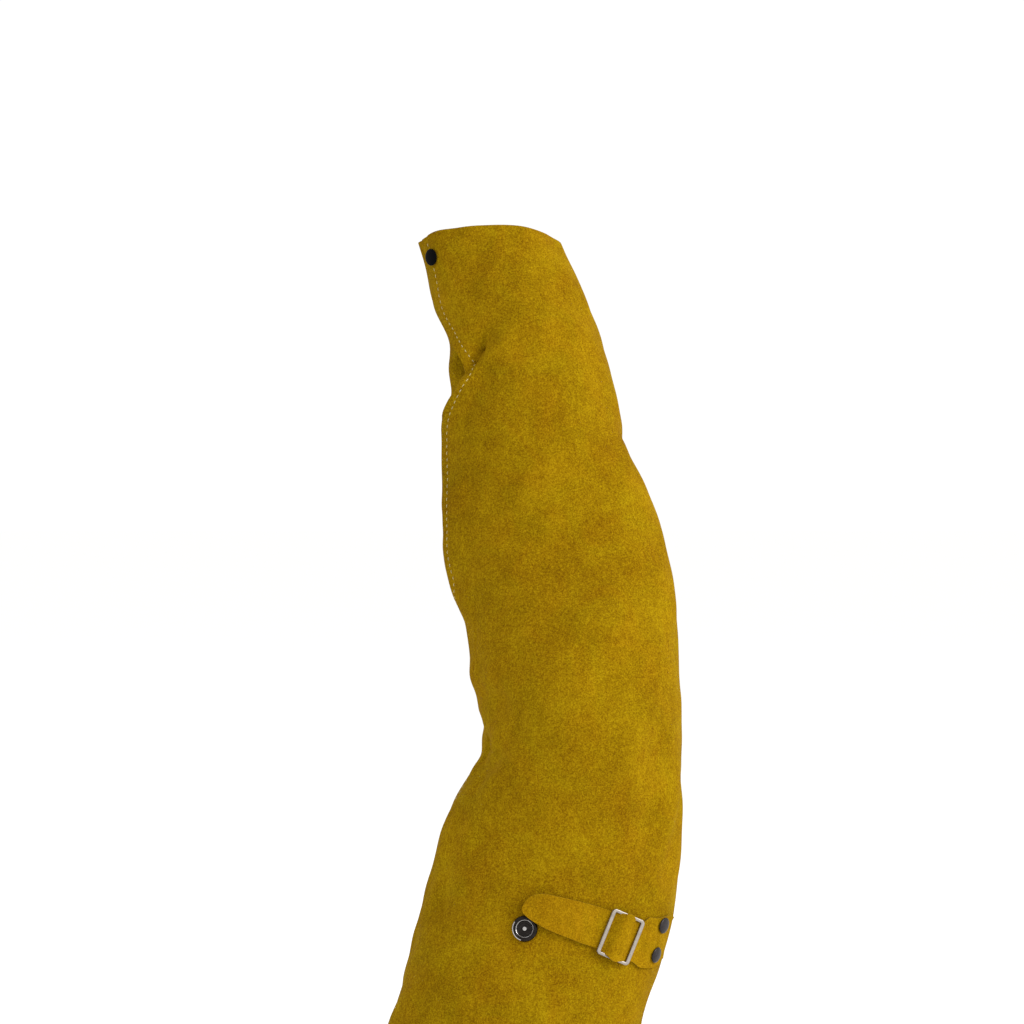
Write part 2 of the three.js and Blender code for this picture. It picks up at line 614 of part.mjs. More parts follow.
// The sheet of leather: an outer row and an inner row of points at each height
function panelGeometry() {
  const rings = [];
  for (let j = 0; j <= ALONG; j += 1) {
    const outer = [];
    const inner = [];
    const level = j / ALONG;
    for (let i = 0; i <= AROUND; i += 1) {
      const even = i / AROUND;
      const share = even - CROWDING * Math.sin(2 * Math.PI * even);
      const angle = flapEdge(level) + share * (360 + lapDegrees(level));
      const cuff = bell(turned(angle - CUFF_RISE_ANGLE) / CUFF_RISE_REACH);
      const at = level * (1 + (CUFF_RISE / SLEEVE_HEIGHT) * cuff);
      const point = sheetPoint(angle, at);
      outer.push(point);
      inner.push(point.clone().addScaledVector(normalOf(sheetPoint, angle, at), -WALL));
    }
    rings.push([...outer, ...inner.reverse()]);
  }
  return closedMesh(rings);
}

// Holes through the leather where the shanks pass
function drill(radius, reach, frame) {
  const rod = new THREE.CylinderGeometry(radius, radius, 2 * reach, ROUND_SIDES);
  return solidOf(rod.rotateX(Math.PI / 2).applyMatrix4(frame));
}

const frames = {
  upperRivet: courseAt(UPPER_RIVET.run, UPPER_RIVET.across),
  lowerRivet: courseAt(LOWER_RIVET.run, LOWER_RIVET.across),
  armSnap: courseAt(STRAP_LENGTH - SNAP_BACK, SNAP_ASIDE),
  wristSnap: frameOnSheet(WRIST_SNAP),
};

const shankBore = SHANK_RADIUS + BORE_GAP;
const studBore = STUD_RADIUS + BORE_GAP;
const boreReach = 3 * WALL + SNAP_ROOM;
const cutPanel = solidOf(panelGeometry())
  .subtract(drill(shankBore, boreReach, frames.upperRivet))
  .subtract(drill(shankBore, boreReach, frames.lowerRivet))
  .subtract(drill(studBore, boreReach, frames.armSnap))
  .subtract(drill(shankBore, boreReach, frames.wristSnap));
const cutStrap = solidOf(strapGeometry())
  .subtract(drill(shankBore, 2 * boreReach, frames.upperRivet))
  .subtract(drill(shankBore, 2 * boreReach, frames.lowerRivet));

const finish = (color, roughness, metalness) => (
  new THREE.MeshStandardMaterial({ color, roughness, metalness })
);
const sleeve = new THREE.Group();

function addPart(name, geometry, material, frame) {
  const mesh = new THREE.Mesh(geometry, material);
  mesh.name = name;
  if (frame) frame.decompose(mesh.position, mesh.quaternion, mesh.scale);
  sleeve.add(mesh);
}

addPart('sleeve_panel', geometryOf(cutPanel), finish(0x9c7a10, 0.95, 0));
addPart('upper_arm_strap', geometryOf(cutStrap), finish(0xa8820f, 0.95, 0));
addPart('slide_buckle', slideGeometry(), finish(0xbcb0a8, 0.35, 1), slideFrame);
addPart('strap_rivet_upper', rivetGeometry(), finish(0x3c3834, 0.4, 1), frames.upperRivet);
addPart('strap_rivet_lower', rivetGeometry(), finish(0x3c3834, 0.4, 1), frames.lowerRivet);
addPart('arm_snap', armSnapGeometry(), finish(0x55534f, 0.25, 1), frames.armSnap);
addPart('wrist_snap_cap', wristCapGeometry(), finish(0x141414, 0.35, 0), frames.wristSnap);
addPart('wrist_snap_stud', wristStudGeometry(), finish(0x55534f, 0.35, 1), frames.wristSnap);

export default sleeve;
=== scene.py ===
# %% [markdown]
# # A suede welding sleeve, worn wrist end up
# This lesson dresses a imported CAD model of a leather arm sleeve. The CAD solids are the frame:
# they give the size and the place of every piece. Here each solid is replaced by a finer piece
# made in mesh code, and each finish is built from what the real material is.

# %% Load the frame
import math

import bpy
import numpy as np
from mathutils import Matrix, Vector


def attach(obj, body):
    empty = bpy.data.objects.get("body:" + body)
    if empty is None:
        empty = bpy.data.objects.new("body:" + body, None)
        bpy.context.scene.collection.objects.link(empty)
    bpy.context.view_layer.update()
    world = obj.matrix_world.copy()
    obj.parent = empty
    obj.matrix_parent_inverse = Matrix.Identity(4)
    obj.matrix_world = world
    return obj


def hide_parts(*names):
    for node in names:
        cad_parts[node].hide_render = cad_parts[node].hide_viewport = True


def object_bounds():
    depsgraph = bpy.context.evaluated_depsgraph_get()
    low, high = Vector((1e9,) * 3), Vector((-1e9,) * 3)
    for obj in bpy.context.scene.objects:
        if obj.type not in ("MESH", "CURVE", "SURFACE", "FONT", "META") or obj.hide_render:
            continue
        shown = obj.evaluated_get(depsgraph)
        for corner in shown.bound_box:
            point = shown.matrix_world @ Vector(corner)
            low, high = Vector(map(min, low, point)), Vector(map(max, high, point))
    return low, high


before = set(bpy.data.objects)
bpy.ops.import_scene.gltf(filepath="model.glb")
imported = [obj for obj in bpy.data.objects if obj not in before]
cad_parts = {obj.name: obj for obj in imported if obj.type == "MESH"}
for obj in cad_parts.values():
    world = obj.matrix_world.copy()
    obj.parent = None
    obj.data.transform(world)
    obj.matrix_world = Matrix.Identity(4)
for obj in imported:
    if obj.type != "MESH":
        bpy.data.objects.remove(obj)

cad_low, cad_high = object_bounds()
print("CAD box in metres:", [round(v, 4) for v in (*cad_low, *cad_high)])

# %% [markdown]
# ## The camera
# The photograph is taken from straight in front, at the height of the forearm, with a long
# lens. A pixel there is 0.70 mm at the middle of the arm, so a camera 2 m away needs a focal
# length of 2 m / 0.70 mm = 2857 pixels, which is 100.4 mm on a sensor 36 mm wide.

# %% Camera
MM = 0.001
PICTURE = 1024
MM_PER_PIXEL = 0.70
CAMERA_AWAY = 2000.0
CAMERA_HEIGHT = 382.2

camera_data = bpy.data.cameras.new("camera")
camera_data.sensor_width = 36.0
camera_data.lens = 36.0 * CAMERA_AWAY / (PICTURE * MM_PER_PIXEL)
camera = bpy.data.objects.new("camera", camera_data)
camera.location = (0.0, -CAMERA_AWAY * MM, CAMERA_HEIGHT * MM)
camera.rotation_euler = (math.radians(90), 0.0, 0.0)
bpy.context.collection.objects.link(camera)
bpy.context.scene.camera = camera
print("focal length:", round(camera_data.lens, 1), "mm")

# %% [markdown]
# ## The shape of the worn leather
# The sleeve is one panel of split leather, cut as a plain taper, rolled round the arm and
# sewn with a lap. Its worn shape could be simulated, but the folds in the photograph are set
# ones, which a simulation wouldn't hit. So the leather is lofted through sections of the arm,
# the same ones that the CAD solid has, and folds are added as soft ridges and valleys.

# %% Sizes of the leather, in millimetres
SLEEVE_HEIGHT = 575.0
UPPER_WIDTH = 172.0
UPPER_GIRTH = 480.0
WRIST_GIRTH = 290.0
WALL = 1.5
LAP = 24.0
LAP_GAP = 0.35
LAP_TURN = 14.0
LAP_FLAT = 2.0
VENT_GAPE = 5.0
VENT_RECESS = 30.0
VENT_DRAG = 9.0
CREASE_DEPTH = 7.0
CUFF_RISE = 3.8
INNER_GAP = 1.15
SOCKET_DEPTH = 1.9

# %% [markdown]
# Each row of the table is a section of the arm. `at`, `side` and `back` place its centre as
# shares of the height, `wide` and `lip` are shares of the upper width, `tilt` is how far the
# right side hangs down, and `seam` is the angle of the flap's edge: 0 is right, 90 the back,
# 180 left and 270 the front.

# %% Sections of the arm
SECTION_COLUMNS = ("at", "side", "back", "wide", "tilt", "seam", "lip")
SECTIONS = np.array([
    (0.0, 0.0, 0.0, 1.06, 16, 166, 0.0),
    (0.0705, 0.013, 0.0, 0.994, 13, 166, 0.0),
    (0.1315, 0.0296, 0.0, 0.998, 11, 166, 0.0),
    (0.192, 0.0461, 0.0, 1.008, 8, 167, 0.0),
    (0.241, 0.0553, 0.0, 0.995, 6, 168, 0.0),
    (0.289, 0.0657, 0.001, 0.952, 5, 169, 0.0),
    (0.326, 0.0751, 0.002, 0.899, 4, 170, 0.004),
    (0.356, 0.0804, 0.004, 0.846, 3, 171, 0.01),
    (0.387, 0.0854, 0.006, 0.808, 3, 172, 0.015),
    (0.421, 0.0816, 0.009, 0.826, 3, 174, 0.02),
    (0.447, 0.0762, 0.012, 0.857, 3, 175, 0.025),
    (0.484, 0.0758, 0.017, 0.859, 2, 177, 0.03),
    (0.523, 0.0723, 0.023, 0.869, 2, 178, 0.035),
    (0.557, 0.0642, 0.029, 0.91, 1, 180, 0.04),
    (0.593, 0.0572, 0.035, 0.925, 0, 180, 0.045),
    (0.642, 0.0496, 0.044, 0.905, 0, 183, 0.045),
    (0.692, 0.0402, 0.053, 0.847, 0, 185, 0.04),
    (0.742, 0.0279, 0.062, 0.778, 0, 188, 0.03),
    (0.779, 0.0237, 0.069, 0.739, 0, 189, 0.02),
    (0.797, 0.0242, 0.072, 0.712, 0, 189, 0.01),
    (0.816, 0.0255, 0.076, 0.677, 0, 189, 0.005),
    (0.847, 0.0203, 0.082, 0.674, 0, 189, 0.0),
    (0.879, 0.0159, 0.089, 0.65, 1, 189, 0.0),
    (0.917, 0.0012, 0.097, 0.657, 2, 193, 0.0),
    (0.955, -0.0111, 0.106, 0.627, 2, 199, 0.0),
    (1.0, -0.027, 0.115, 0.609, 2, 201, 0.0),
])


def section_value(column, at):
    """One column of SECTIONS at any heights, on a smooth curve through the rows."""
    ats = SECTIONS[:, 0]
    values = SECTIONS[:, SECTION_COLUMNS.index(column)]
    low = np.clip(np.searchsorted(ats, at) - 1, 0, len(ats) - 2)
    high = low + 1
    before = np.maximum(low - 1, 0)
    after = np.minimum(low + 2, len(ats) - 1)
    step = ats[high] - ats[low]
    share = (at - ats[low]) / step
    slope_low = (values[high] - values[before]) / (ats[high] - ats[before]) * step
    slope_high = (values[after] - values[low]) / (ats[after] - ats[low]) * step
    rise = 3 * share**2 - 2 * share**3
    curve = slope_low * (share**3 - 2 * share**2 + share) + slope_high * (share**3 - share**2)
    return values[low] * (1 - rise) + values[high] * rise + curve


print("front width at half height:", round(float(section_value("wide", 0.5)) * UPPER_WIDTH, 1))


# %% Small helpers for smooth changes
def smooth(x):
    """A soft step from 0 to 1."""
    x = np.clip(x, 0.0, 1.0)
    return x * x * (3 - 2 * x)


def bell(x):
    """1 at the middle, fading to 0 on both sides."""
    return np.exp(-np.square(x))


def turned_by(angle):
    """The same angle between -180 and 180 degrees."""
    return np.mod(angle + 180.0, 360.0) - 180.0


def arc_radius(at):
    """Radius of a circle with the girth that the panel has at this height."""
    return (UPPER_GIRTH + (WRIST_GIRTH - UPPER_GIRTH) * at) / (2 * math.pi)


def unit(v):
    return v / np.linalg.norm(v, axis=-1, keepdims=True)


# %% [markdown]
# Two tables of folds follow. The first holds the main ones, which the CAD solid has too. The
# second holds the finer creases that only this dressed model shows. A fold runs from one
# place to another, and its section is a bell: `reach` is half its width, and a valley's
# height is negative. The first table gives both as shares of the upper width and of the
# crease's depth, the second in millimetres.

# %% Folds
MAIN_FOLD_SHARES = [
    # from_at, from_angle, to_at, to_angle, reach, height
    (0.868, 239, 0.828, 226, 0.045, -0.55),  # vent valley
    (0.82, 222, 0.776, 191, 0.05, 0.3),  # vent ridge
    (0.45, 150, 0.425, 214, 0.055, -0.45),  # inner elbow, upper
    (0.395, 150, 0.385, 205, 0.05, 0.3),  # inner elbow, ridge
    (0.365, 140, 0.35, 212, 0.06, -0.6),  # inner elbow, lower
    (0.31, 205, 0.17, 212, 0.06, -0.35),  # lower left valley
    (0.4, 318, 0.26, 312, 0.07, -0.3),  # right valley
    (0.39, 333, 0.06, 323, 0.09, 0.25),  # right ridge
    (0.335, 352, 0.245, 330, 0.05, -0.5),  # right dent
    (0.75, 352, 0.735, 380, 0.06, -0.35),  # forearm dent
    (0.47, 40, 0.435, 110, 0.07, -0.7),  # back elbow, upper
    (0.37, 55, 0.35, 130, 0.07, -0.7),  # back elbow, lower
    (0.24, 75, 0.05, 70, 0.1, -0.6),  # back drape
    (0.25, 115, 0.05, 112, 0.1, 0.4),  # back swell
]
MAIN_FOLDS = [
    (*ends, reach * UPPER_WIDTH, height * CREASE_DEPTH) for *ends, reach, height in MAIN_FOLD_SHARES
]
FINE_FOLDS = [
    # from_at, from_angle, to_at, to_angle, reach, height
    (0.868, 235, 0.854, 234, 2.3, -2.4),  # sharp bottom of the vent valley
    (0.854, 234, 0.839, 227, 2.1, -2.8),
    (0.839, 227, 0.824, 219, 2.0, -2.0),
    (0.858, 252, 0.842, 239, 4.2, 1.2),  # puffed ridge below it
    (0.842, 239, 0.812, 217, 3.6, 1.6),
    (0.812, 217, 0.782, 197, 3.6, 1.0),
    (0.806, 208, 0.798, 192, 2.4, -1.0),  # pucker where the sewn seam starts
    (0.437, 196, 0.428, 226, 3.2, -1.1),  # inner elbow, first crease
    (0.402, 190, 0.392, 222, 3.0, 0.9),
    (0.372, 186, 0.362, 224, 3.2, -1.3),  # inner elbow, second crease
    (0.345, 188, 0.338, 216, 3.0, 0.9),
    (0.352, 224, 0.318, 236, 6.0, -0.8),
    (0.452, 62, 0.446, 100, 3.4, -1.2),  # back of the elbow
    (0.412, 58, 0.404, 108, 4.0, 1.0),
    (0.362, 70, 0.356, 118, 3.4, -1.2),
    (0.325, 346, 0.283, 334, 4.0, -0.9),  # right side
    (0.258, 340, 0.232, 326, 5.0, 0.6),
    (0.41, 164, 0.38, 190, 8.0, -3.6),  # left outline: the sharp inner elbow
    (0.352, 166, 0.346, 186, 7.0, 2.6),
    (0.381, 190, 0.33, 183, 1.8, -2.4),  # fold that tucks in below it
    (0.36, 189, 0.333, 206, 5.0, -1.2),
    (0.333, 206, 0.254, 227, 7.0, -1.3),
    (0.51, 196, 0.441, 184, 1.6, -0.9),  # the underlap's edge beside the elbow
    (0.655, 182, 0.64, 184, 8.0, -1.6),  # the left outline's soft bays
    (0.578, 180, 0.53, 180, 10.0, -1.2),
    (0.812, 190, 0.78, 190, 8.0, -1.6),
    (0.335, 180, 0.28, 180, 12.0, -1.2),
    (0.23, 180, 0.15, 180, 16.0, -1.4),
    (0.04, 178, 0.0, 178, 12.0, -4.6),
    (0.745, 348, 0.732, 372, 6.0, 1.8),  # right outline at the forearm
    (0.48, 0, 0.45, 0, 12.0, 1.4),
]


def fold_rise(angle, at, folds):
    """How far the folds move the leather outwards."""
    rise = 0.0
    for from_at, from_angle, to_at, to_angle, reach, height in folds:
        run_x = math.radians(to_angle - from_angle) * arc_radius(at)
        run_y = (to_at - from_at) * SLEEVE_HEIGHT
        here_x = np.radians(turned_by(angle - from_angle)) * arc_radius(at)
        here_y = (at - from_at) * SLEEVE_HEIGHT
        share = np.clip((here_x * run_x + here_y * run_y) / (run_x**2 + run_y**2), 0, 1)
        away = np.hypot(here_x - share * run_x, here_y - share * run_y)
        rise = rise + height * bell(away / reach)
    return rise


print("folds:", len(MAIN_FOLDS), "main,", len(FINE_FOLDS), "fine")

# %% [markdown]
# A section is an ellipse whose girth is the panel's girth at that height. The sewn seam
# stands a little proud on the left of the forearm, which the `lip` column gives.

# %% The skin: the leather's outer face before its layers part
LIP_SPREAD = 11.0
LIP_ROUND = 3.5


def centre_at(at):
    columns = [section_value("side", at), section_value("back", at), np.asarray(at)]
    return np.stack(columns, axis=-1) * SLEEVE_HEIGHT


def skin_point(angle, at, lift=0.0):
    """Points of the skin in millimetres, raised by lift along the ellipse's normal."""
    angle, at = np.broadcast_arrays(np.asarray(angle, float), np.asarray(at, float))
    probe = 0.01
    tilt = np.radians(section_value("tilt", at))
    lip = section_value("lip", at) * UPPER_WIDTH
    half_width = (section_value("wide", at) * UPPER_WIDTH - lip) / 2
    half_depth = 2 * arc_radius(at) - half_width
    side = np.stack([np.cos(tilt), np.zeros_like(tilt), -np.sin(tilt)], axis=-1)
    back = unit(np.cross(unit(centre_at(at + probe) - centre_at(at - probe)), side))
    c = np.cos(np.radians(angle))
    d = np.sin(np.radians(angle))
    out = unit(np.stack([c / half_width, d / half_depth], axis=-1))
    off = turned_by(angle - section_value("seam", at) - 1)
    proud = lip * np.exp((LIP_ROUND - np.hypot(off, LIP_ROUND)) / LIP_SPREAD)
    rise = lift + fold_rise(angle, at, MAIN_FOLDS) + proud
    across = lip / 2 + half_width * c + out[..., 0] * rise
    deep = half_depth * d + out[..., 1] * rise
    return centre_at(at) + side * across[..., None] + back * deep[..., None]


print("front of the elbow, mm:", skin_point(270, 0.4).round(1))

# %% [markdown]
# The strap, the slide and the rivets sit on the skin exactly where the CAD has them. So the
# finer relief fades out under them. Away from them, soft leather never hangs quite evenly, and
# a few slow waves, each with its own direction, give it that life.

# %% Relief that only the dressed leather has
STRAP_ZONE = {"angle": 302.0, "at": 0.177, "reach_angle": 62.0, "reach_at": 0.05}
CALM_FROM = 0.25  # the relief is gone below this share of the zone's fade
CALM_RUN = 0.6
WAVE_RADIUS = 60.0
RELIEF_WAVES = [
    # length round the arm, length along it, phase, height, in millimetres
    (96.0, 74.0, 0.4, 0.55),
    (-61.0, 118.0, 2.1, 0.45),
    (43.0, 52.0, 4.0, 0.28),
    (-31.0, 37.0, 1.3, 0.2),
    (24.0, -45.0, 5.2, 0.16),
]


def fine_relief(angle, at):
    """Fine folds and slow waves, in millimetres outwards."""
    theta = np.radians(angle)
    waves = 0.0
    for round_length, along_length, phase, height in RELIEF_WAVES:
        turns = max(1, round(2 * math.pi * WAVE_RADIUS / abs(round_length)))
        turns = math.copysign(turns, round_length)
        along = 2 * math.pi * at * SLEEVE_HEIGHT / along_length
        waves = waves + height * np.sin(turns * theta + along + phase)
    calm = 1 - bell(turned_by(angle - STRAP_ZONE["angle"]) / STRAP_ZONE["reach_angle"]) * bell(
        (at - STRAP_ZONE["at"]) / STRAP_ZONE["reach_at"]
    )
    return (waves + fold_rise(angle, at, FINE_FOLDS)) * smooth((calm - CALM_FROM) / CALM_RUN)


relief_sample = fine_relief(np.linspace(0, 360, 90)[:, None], np.linspace(0, 1, 90)[None, :])
print("fine relief, mm:", relief_sample.min().round(2), "to", relief_sample.max().round(2))

# %% [markdown]
# The panel's own surface is laid out by two measures: millimetres past the flap's edge, and
# the level up the arm. Past a full turn the leather dips under the flap. Towards the wrist the
# lap isn't sewn, and there the flap gapes. The underlap's cut edge shows through the flap as a
# low step, and the row of stitches presses a shallow channel.

# %% The sheet
VENT_AT = 0.833
VENT_HALF_HEIGHT = 0.047
VENT_LIFT_REACH = 22.0
VENT_RECESS_REACH = 38.0
VENT_START = 0.815
CUFF_RISE_ANGLE = 290.0
CUFF_RISE_REACH = 46.0
CORNER_DROP = 2.3  # how much lower the cuff ends at the flap's corner
CORNER_RUN = 13.0
UNDERLAP_DROP = 1.0  # and on the underlap behind it
UNDERLAP_RUN = 30.0
CUT_FROM = 0.9  # the level from which the rows close up to those cuts
VENT_PRESS = 9.0  # how much further the dressed underlap sinks beside the flap
PRESS_FROM = -6.0  # where that starts, in millimetres past the full turn
PRESS_RUN = 20.0
SEAM_PULL = 9.0  # how far the flap's edge creeps back beside the elbow
SEAM_PULL_FROM = 0.585
SEAM_PULL_TO = 0.3
SEAM_PULL_FADES = (0.05, 0.1)  # the levels over which it fades, above and below
SNAP_ROOM = INNER_GAP + SOCKET_DEPTH + INNER_GAP
SNAP_SWELL = 20.0
WRIST_SNAP_INSET = 10.0
WRIST_SNAP_DROP = 17.5
STITCH_INSET = 7.5
STEP_HEIGHT = 0.8
STEP_RUN = 4.0
SEWN_FADE = 0.02
CHANNEL_DEPTH = 0.55
CHANNEL_HALF_WIDTH = 1.7


def degrees_of(arc, at):
    """Millimetres round the arm as degrees."""
    return np.degrees(arc / arc_radius(at))


snap_at = 1 - WRIST_SNAP_DROP / SLEEVE_HEIGHT
snap_angle = float(section_value("seam", snap_at) + degrees_of(WRIST_SNAP_INSET, snap_at))


def cuff_level(angle, level):
    """Levels by the cuff's cut: higher at the front right, lower at the flap's corner."""
    cuff = bell(turned_by(angle - CUFF_RISE_ANGLE) / CUFF_RISE_REACH)
    past = angle - section_value("seam", level)
    drop = CORNER_DROP * bell(np.radians(past) * arc_radius(level) / CORNER_RUN)
    drop = drop + UNDERLAP_DROP * bell(np.radians(past - 360) * arc_radius(level) / UNDERLAP_RUN)
    cut = CUFF_RISE * cuff * level - drop * smooth((level - CUT_FROM) / (1 - CUT_FROM))
    return level + cut / SLEEVE_HEIGHT


def seam_pull(at):
    """How far, in millimetres, the flap's edge creeps back beside the elbow."""
    above, below = SEAM_PULL_FADES
    return SEAM_PULL * smooth((SEAM_PULL_FROM - at) / above) * smooth((at - SEAM_PULL_TO) / below)


def sheet_point(angle, at, dressed=True):
    """Points of the panel's outer face, with the layers of the lap apart."""
    past = angle - section_value("seam", at)
    arc = np.radians(past) * arc_radius(at)
    on_flap = np.where(past < 180, 1.0, 0.0)
    to_lap = np.radians(past - 360) * arc_radius(at)
    vent = bell((at - VENT_AT) / VENT_HALF_HEIGHT)
    snap_away = np.hypot(
        np.radians(turned_by(angle - snap_angle)) * arc_radius(at),
        (at - snap_at) * SLEEVE_HEIGHT,
    )
    gape = VENT_GAPE * vent * bell(past / VENT_LIFT_REACH) * on_flap
    swell = (SNAP_ROOM - LAP_GAP) * bell(snap_away / SNAP_SWELL) * on_flap
    press = VENT_GAPE * vent * smooth((to_lap + LAP_TURN) / LAP)
    shift = VENT_RECESS * vent * bell(past / VENT_RECESS_REACH) * on_flap
    pull = 0.0
    if dressed:
        pull = seam_pull(at)
        shift = shift - degrees_of(pull, at) * bell(past / VENT_RECESS_REACH) * on_flap
    dip = (WALL + LAP_GAP) * smooth((to_lap + pull + LAP_TURN) / (LAP_TURN - LAP_FLAT))
    drag = VENT_DRAG * vent * smooth(to_lap / LAP)
    shift = shift + drag
    lift = gape + swell - dip - press
    if dressed:
        sewn = smooth((VENT_START - at) / SEWN_FADE)
        step = STEP_HEIGHT * (1 - smooth((arc - LAP + WALL) / STEP_RUN)) * sewn * on_flap
        channel = CHANNEL_DEPTH * bell((arc - STITCH_INSET) / CHANNEL_HALF_WIDTH) * on_flap
        sink = VENT_PRESS * vent * smooth((to_lap - PRESS_FROM) / PRESS_RUN)
        lift = lift + step - channel - sink + fine_relief(angle + shift, at)
    return skin_point(angle + shift, at, lift)


print("wrist snap at angle", round(snap_angle, 1), "and level", round(snap_at, 3))

# %% [markdown]
# The mesh is a grid of points on the outer face, and the same grid moved in by the wall.
# Columns lie close together near the flap's edge, where the stitches and the sharpest folds
# are, and rows lie closer at the vent and the elbow. The normals come from the grid itself.

# %% The grid of the leather
FLAP_COLUMNS = 56
ROUND_COLUMNS = 126
ROWS = 250
FLAP_STEP = 1.3
FINE_ZONES = [(0.835, 0.05), (0.39, 0.075)]  # level and reach of the sharp folds
FINE_EXTRA = 1.1  # how many more rows there, as a share

even_levels = np.linspace(0, 1, 2001)
row_density = 1 + sum(FINE_EXTRA * bell((even_levels - at) / reach) for at, reach in FINE_ZONES)
row_count = np.concatenate([[0], np.cumsum((row_density[1:] + row_density[:-1]) / 2)])
levels = np.interp(np.linspace(0, row_count[-1], ROWS + 1), row_count, even_levels)[:, None]
girths = 2 * math.pi * arc_radius(levels) + LAP
flap_arcs = np.arange(FLAP_COLUMNS)[None, :] * FLAP_STEP
shares = np.linspace(0, 1, ROUND_COLUMNS + 1)[None, :]
flap_end = FLAP_COLUMNS * FLAP_STEP
arcs = np.concatenate(
    [np.broadcast_to(flap_arcs, (ROWS + 1, FLAP_COLUMNS)), flap_end + shares * (girths - flap_end)],
    axis=1,
)
angles = section_value("seam", levels) + degrees_of(arcs, levels)
leather_outer = sheet_point(angles, cuff_level(angles, levels))


def grid_normals(points):
    """Unit normals of a grid whose columns run to the right of its outward side."""
    across = np.gradient(points, axis=1)
    up = np.gradient(points, axis=0)
    return unit(np.cross(across, up))


leather_normals = grid_normals(leather_outer)
leather_inner = leather_outer - leather_normals * WALL
print("leather grid:", leather_outer.shape[:2])

# %% [markdown]
# A sheet with real thickness is an outer grid, an inner grid and a rim between them. The rim
# is the raw cut edge of the leather, so it takes a second material, and its middle row bulges
# a little, as cut leather does.

# %% Sheets with a rim
def rim_loop(rows, columns):
    """Indices of a grid's border, once round."""
    index = np.arange(rows * columns).reshape(rows, columns)
    return np.concatenate([index[0, :-1], index[:-1, -1], index[-1, :0:-1], index[:0:-1, 0]])


def new_mesh_object(name, vertices, faces, materials, face_material=None, uv=None):
    """An object from points in millimetres, shaded smooth apart from its sharp edges."""
    mesh = bpy.data.meshes.new(name)
    mesh.from_pydata([tuple(v) for v in np.asarray(vertices) * MM], [], faces)
    for material in materials:
        mesh.materials.append(material)
    if face_material is not None:
        mesh.polygons.foreach_set("material_index", face_material)
    if uv is not None:
        loops = np.empty(len(mesh.loops), dtype=np.int32)
        mesh.loops.foreach_get("vertex_index", loops)
        layer = mesh.uv_layers.new(name="leather")
        layer.data.foreach_set("uv", (np.asarray(uv)[loops] * MM).ravel())
    mesh.polygons.foreach_set("use_smooth", [True] * len(mesh.polygons))
    mesh.set_sharp_from_angle(angle=math.radians(40))
    mesh.update()
    thing = bpy.data.objects.new(name, mesh)
    bpy.context.collection.objects.link(thing)
    print(f"{name}: {len(mesh.polygons)} faces")
    return thing


def thick_sheet(name, outer, inner, uv, bulge, materials):
    """A closed sheet from two grids, with a rim that bulges by this many millimetres."""
    rows, columns = outer.shape[:2]
    count = rows * columns
    index = np.arange(count).reshape(rows, columns)
    quads = np.stack(
        [index[:-1, :-1], index[:-1, 1:], index[1:, 1:], index[1:, :-1]], axis=-1
    ).reshape(-1, 4)
    border = rim_loop(rows, columns)
    after = np.roll(border, -1)
    flat_outer, flat_inner = outer.reshape(-1, 3), inner.reshape(-1, 3)
    middle = (flat_outer[border] + flat_inner[border]) / 2
    run = unit(flat_outer[after] - flat_outer[np.roll(border, 1)])
    wall = unit(flat_outer[border] - flat_inner[border])
    middle = middle + np.cross(run, wall) * bulge
    rim = 2 * count + np.arange(len(border))
    rim_after = np.roll(rim, -1)
    faces = np.concatenate([
        quads,
        quads[:, ::-1] + count,
        np.stack([border, rim, rim_after, after], axis=-1),
        np.stack([rim, border + count, after + count, rim_after], axis=-1),
    ])
    kinds = np.zeros(len(faces), dtype=np.int32)
    kinds[2 * len(quads):] = 1
    flat_uv = uv.reshape(-1, 2)
    uvs = np.concatenate([flat_uv, flat_uv, flat_uv[border]])
    vertices = np.concatenate([flat_outer, flat_inner, middle])
    return new_mesh_object(name, vertices, faces.tolist(), materials, kinds, uvs)


# %% [markdown]
# ## Materials
# Colours are written as sRGB hex values, the way a colour picker gives them, and Blender
# wants linear light, so one function turns them. One more function adds a node: what it is
# given for an input is either a value to set or another node's output to link. Most finishes
# here are one real grain that shows in colour, height or gloss, which one function makes.

# %% Helpers for materials
def hex_colour(text):
    """An sRGB hex colour as linear red, green, blue and alpha."""
    parts = [int(text[i:i + 2], 16) / 255 for i in (1, 3, 5)]
    linear = [c / 12.92 if c <= 0.04045 else ((c + 0.055) / 1.055) ** 2.4 for c in parts]
    return (*linear, 1.0)


def add_node(tree, kind, inputs=None, **settings):
    """Adds a node, sets what it is, and sets or links its inputs."""
    node = tree.nodes.new(kind)
    for name, value in settings.items():
        setattr(node, name, value)
    for key, value in (inputs or {}).items():
        if isinstance(value, bpy.types.NodeSocket):
            tree.links.new(value, node.inputs[key])
        else:
            node.inputs[key].default_value = value
    return node


def new_material(name, constants):
    """A material with its surface shader's constants set, and the object's coordinates."""
    material = bpy.data.materials.new(name)
    material.use_nodes = True
    tree = material.node_tree
    shader = tree.nodes["Principled BSDF"]
    for socket, value in constants.items():
        shader.inputs[socket].default_value = value
    place = add_node(tree, "ShaderNodeTexCoord")
    return material, tree, shader, place.outputs["Object"]


def per_mm(size):
    """The scale that makes a pattern's cells this many millimetres wide."""
    return 1.0 / (size * MM)


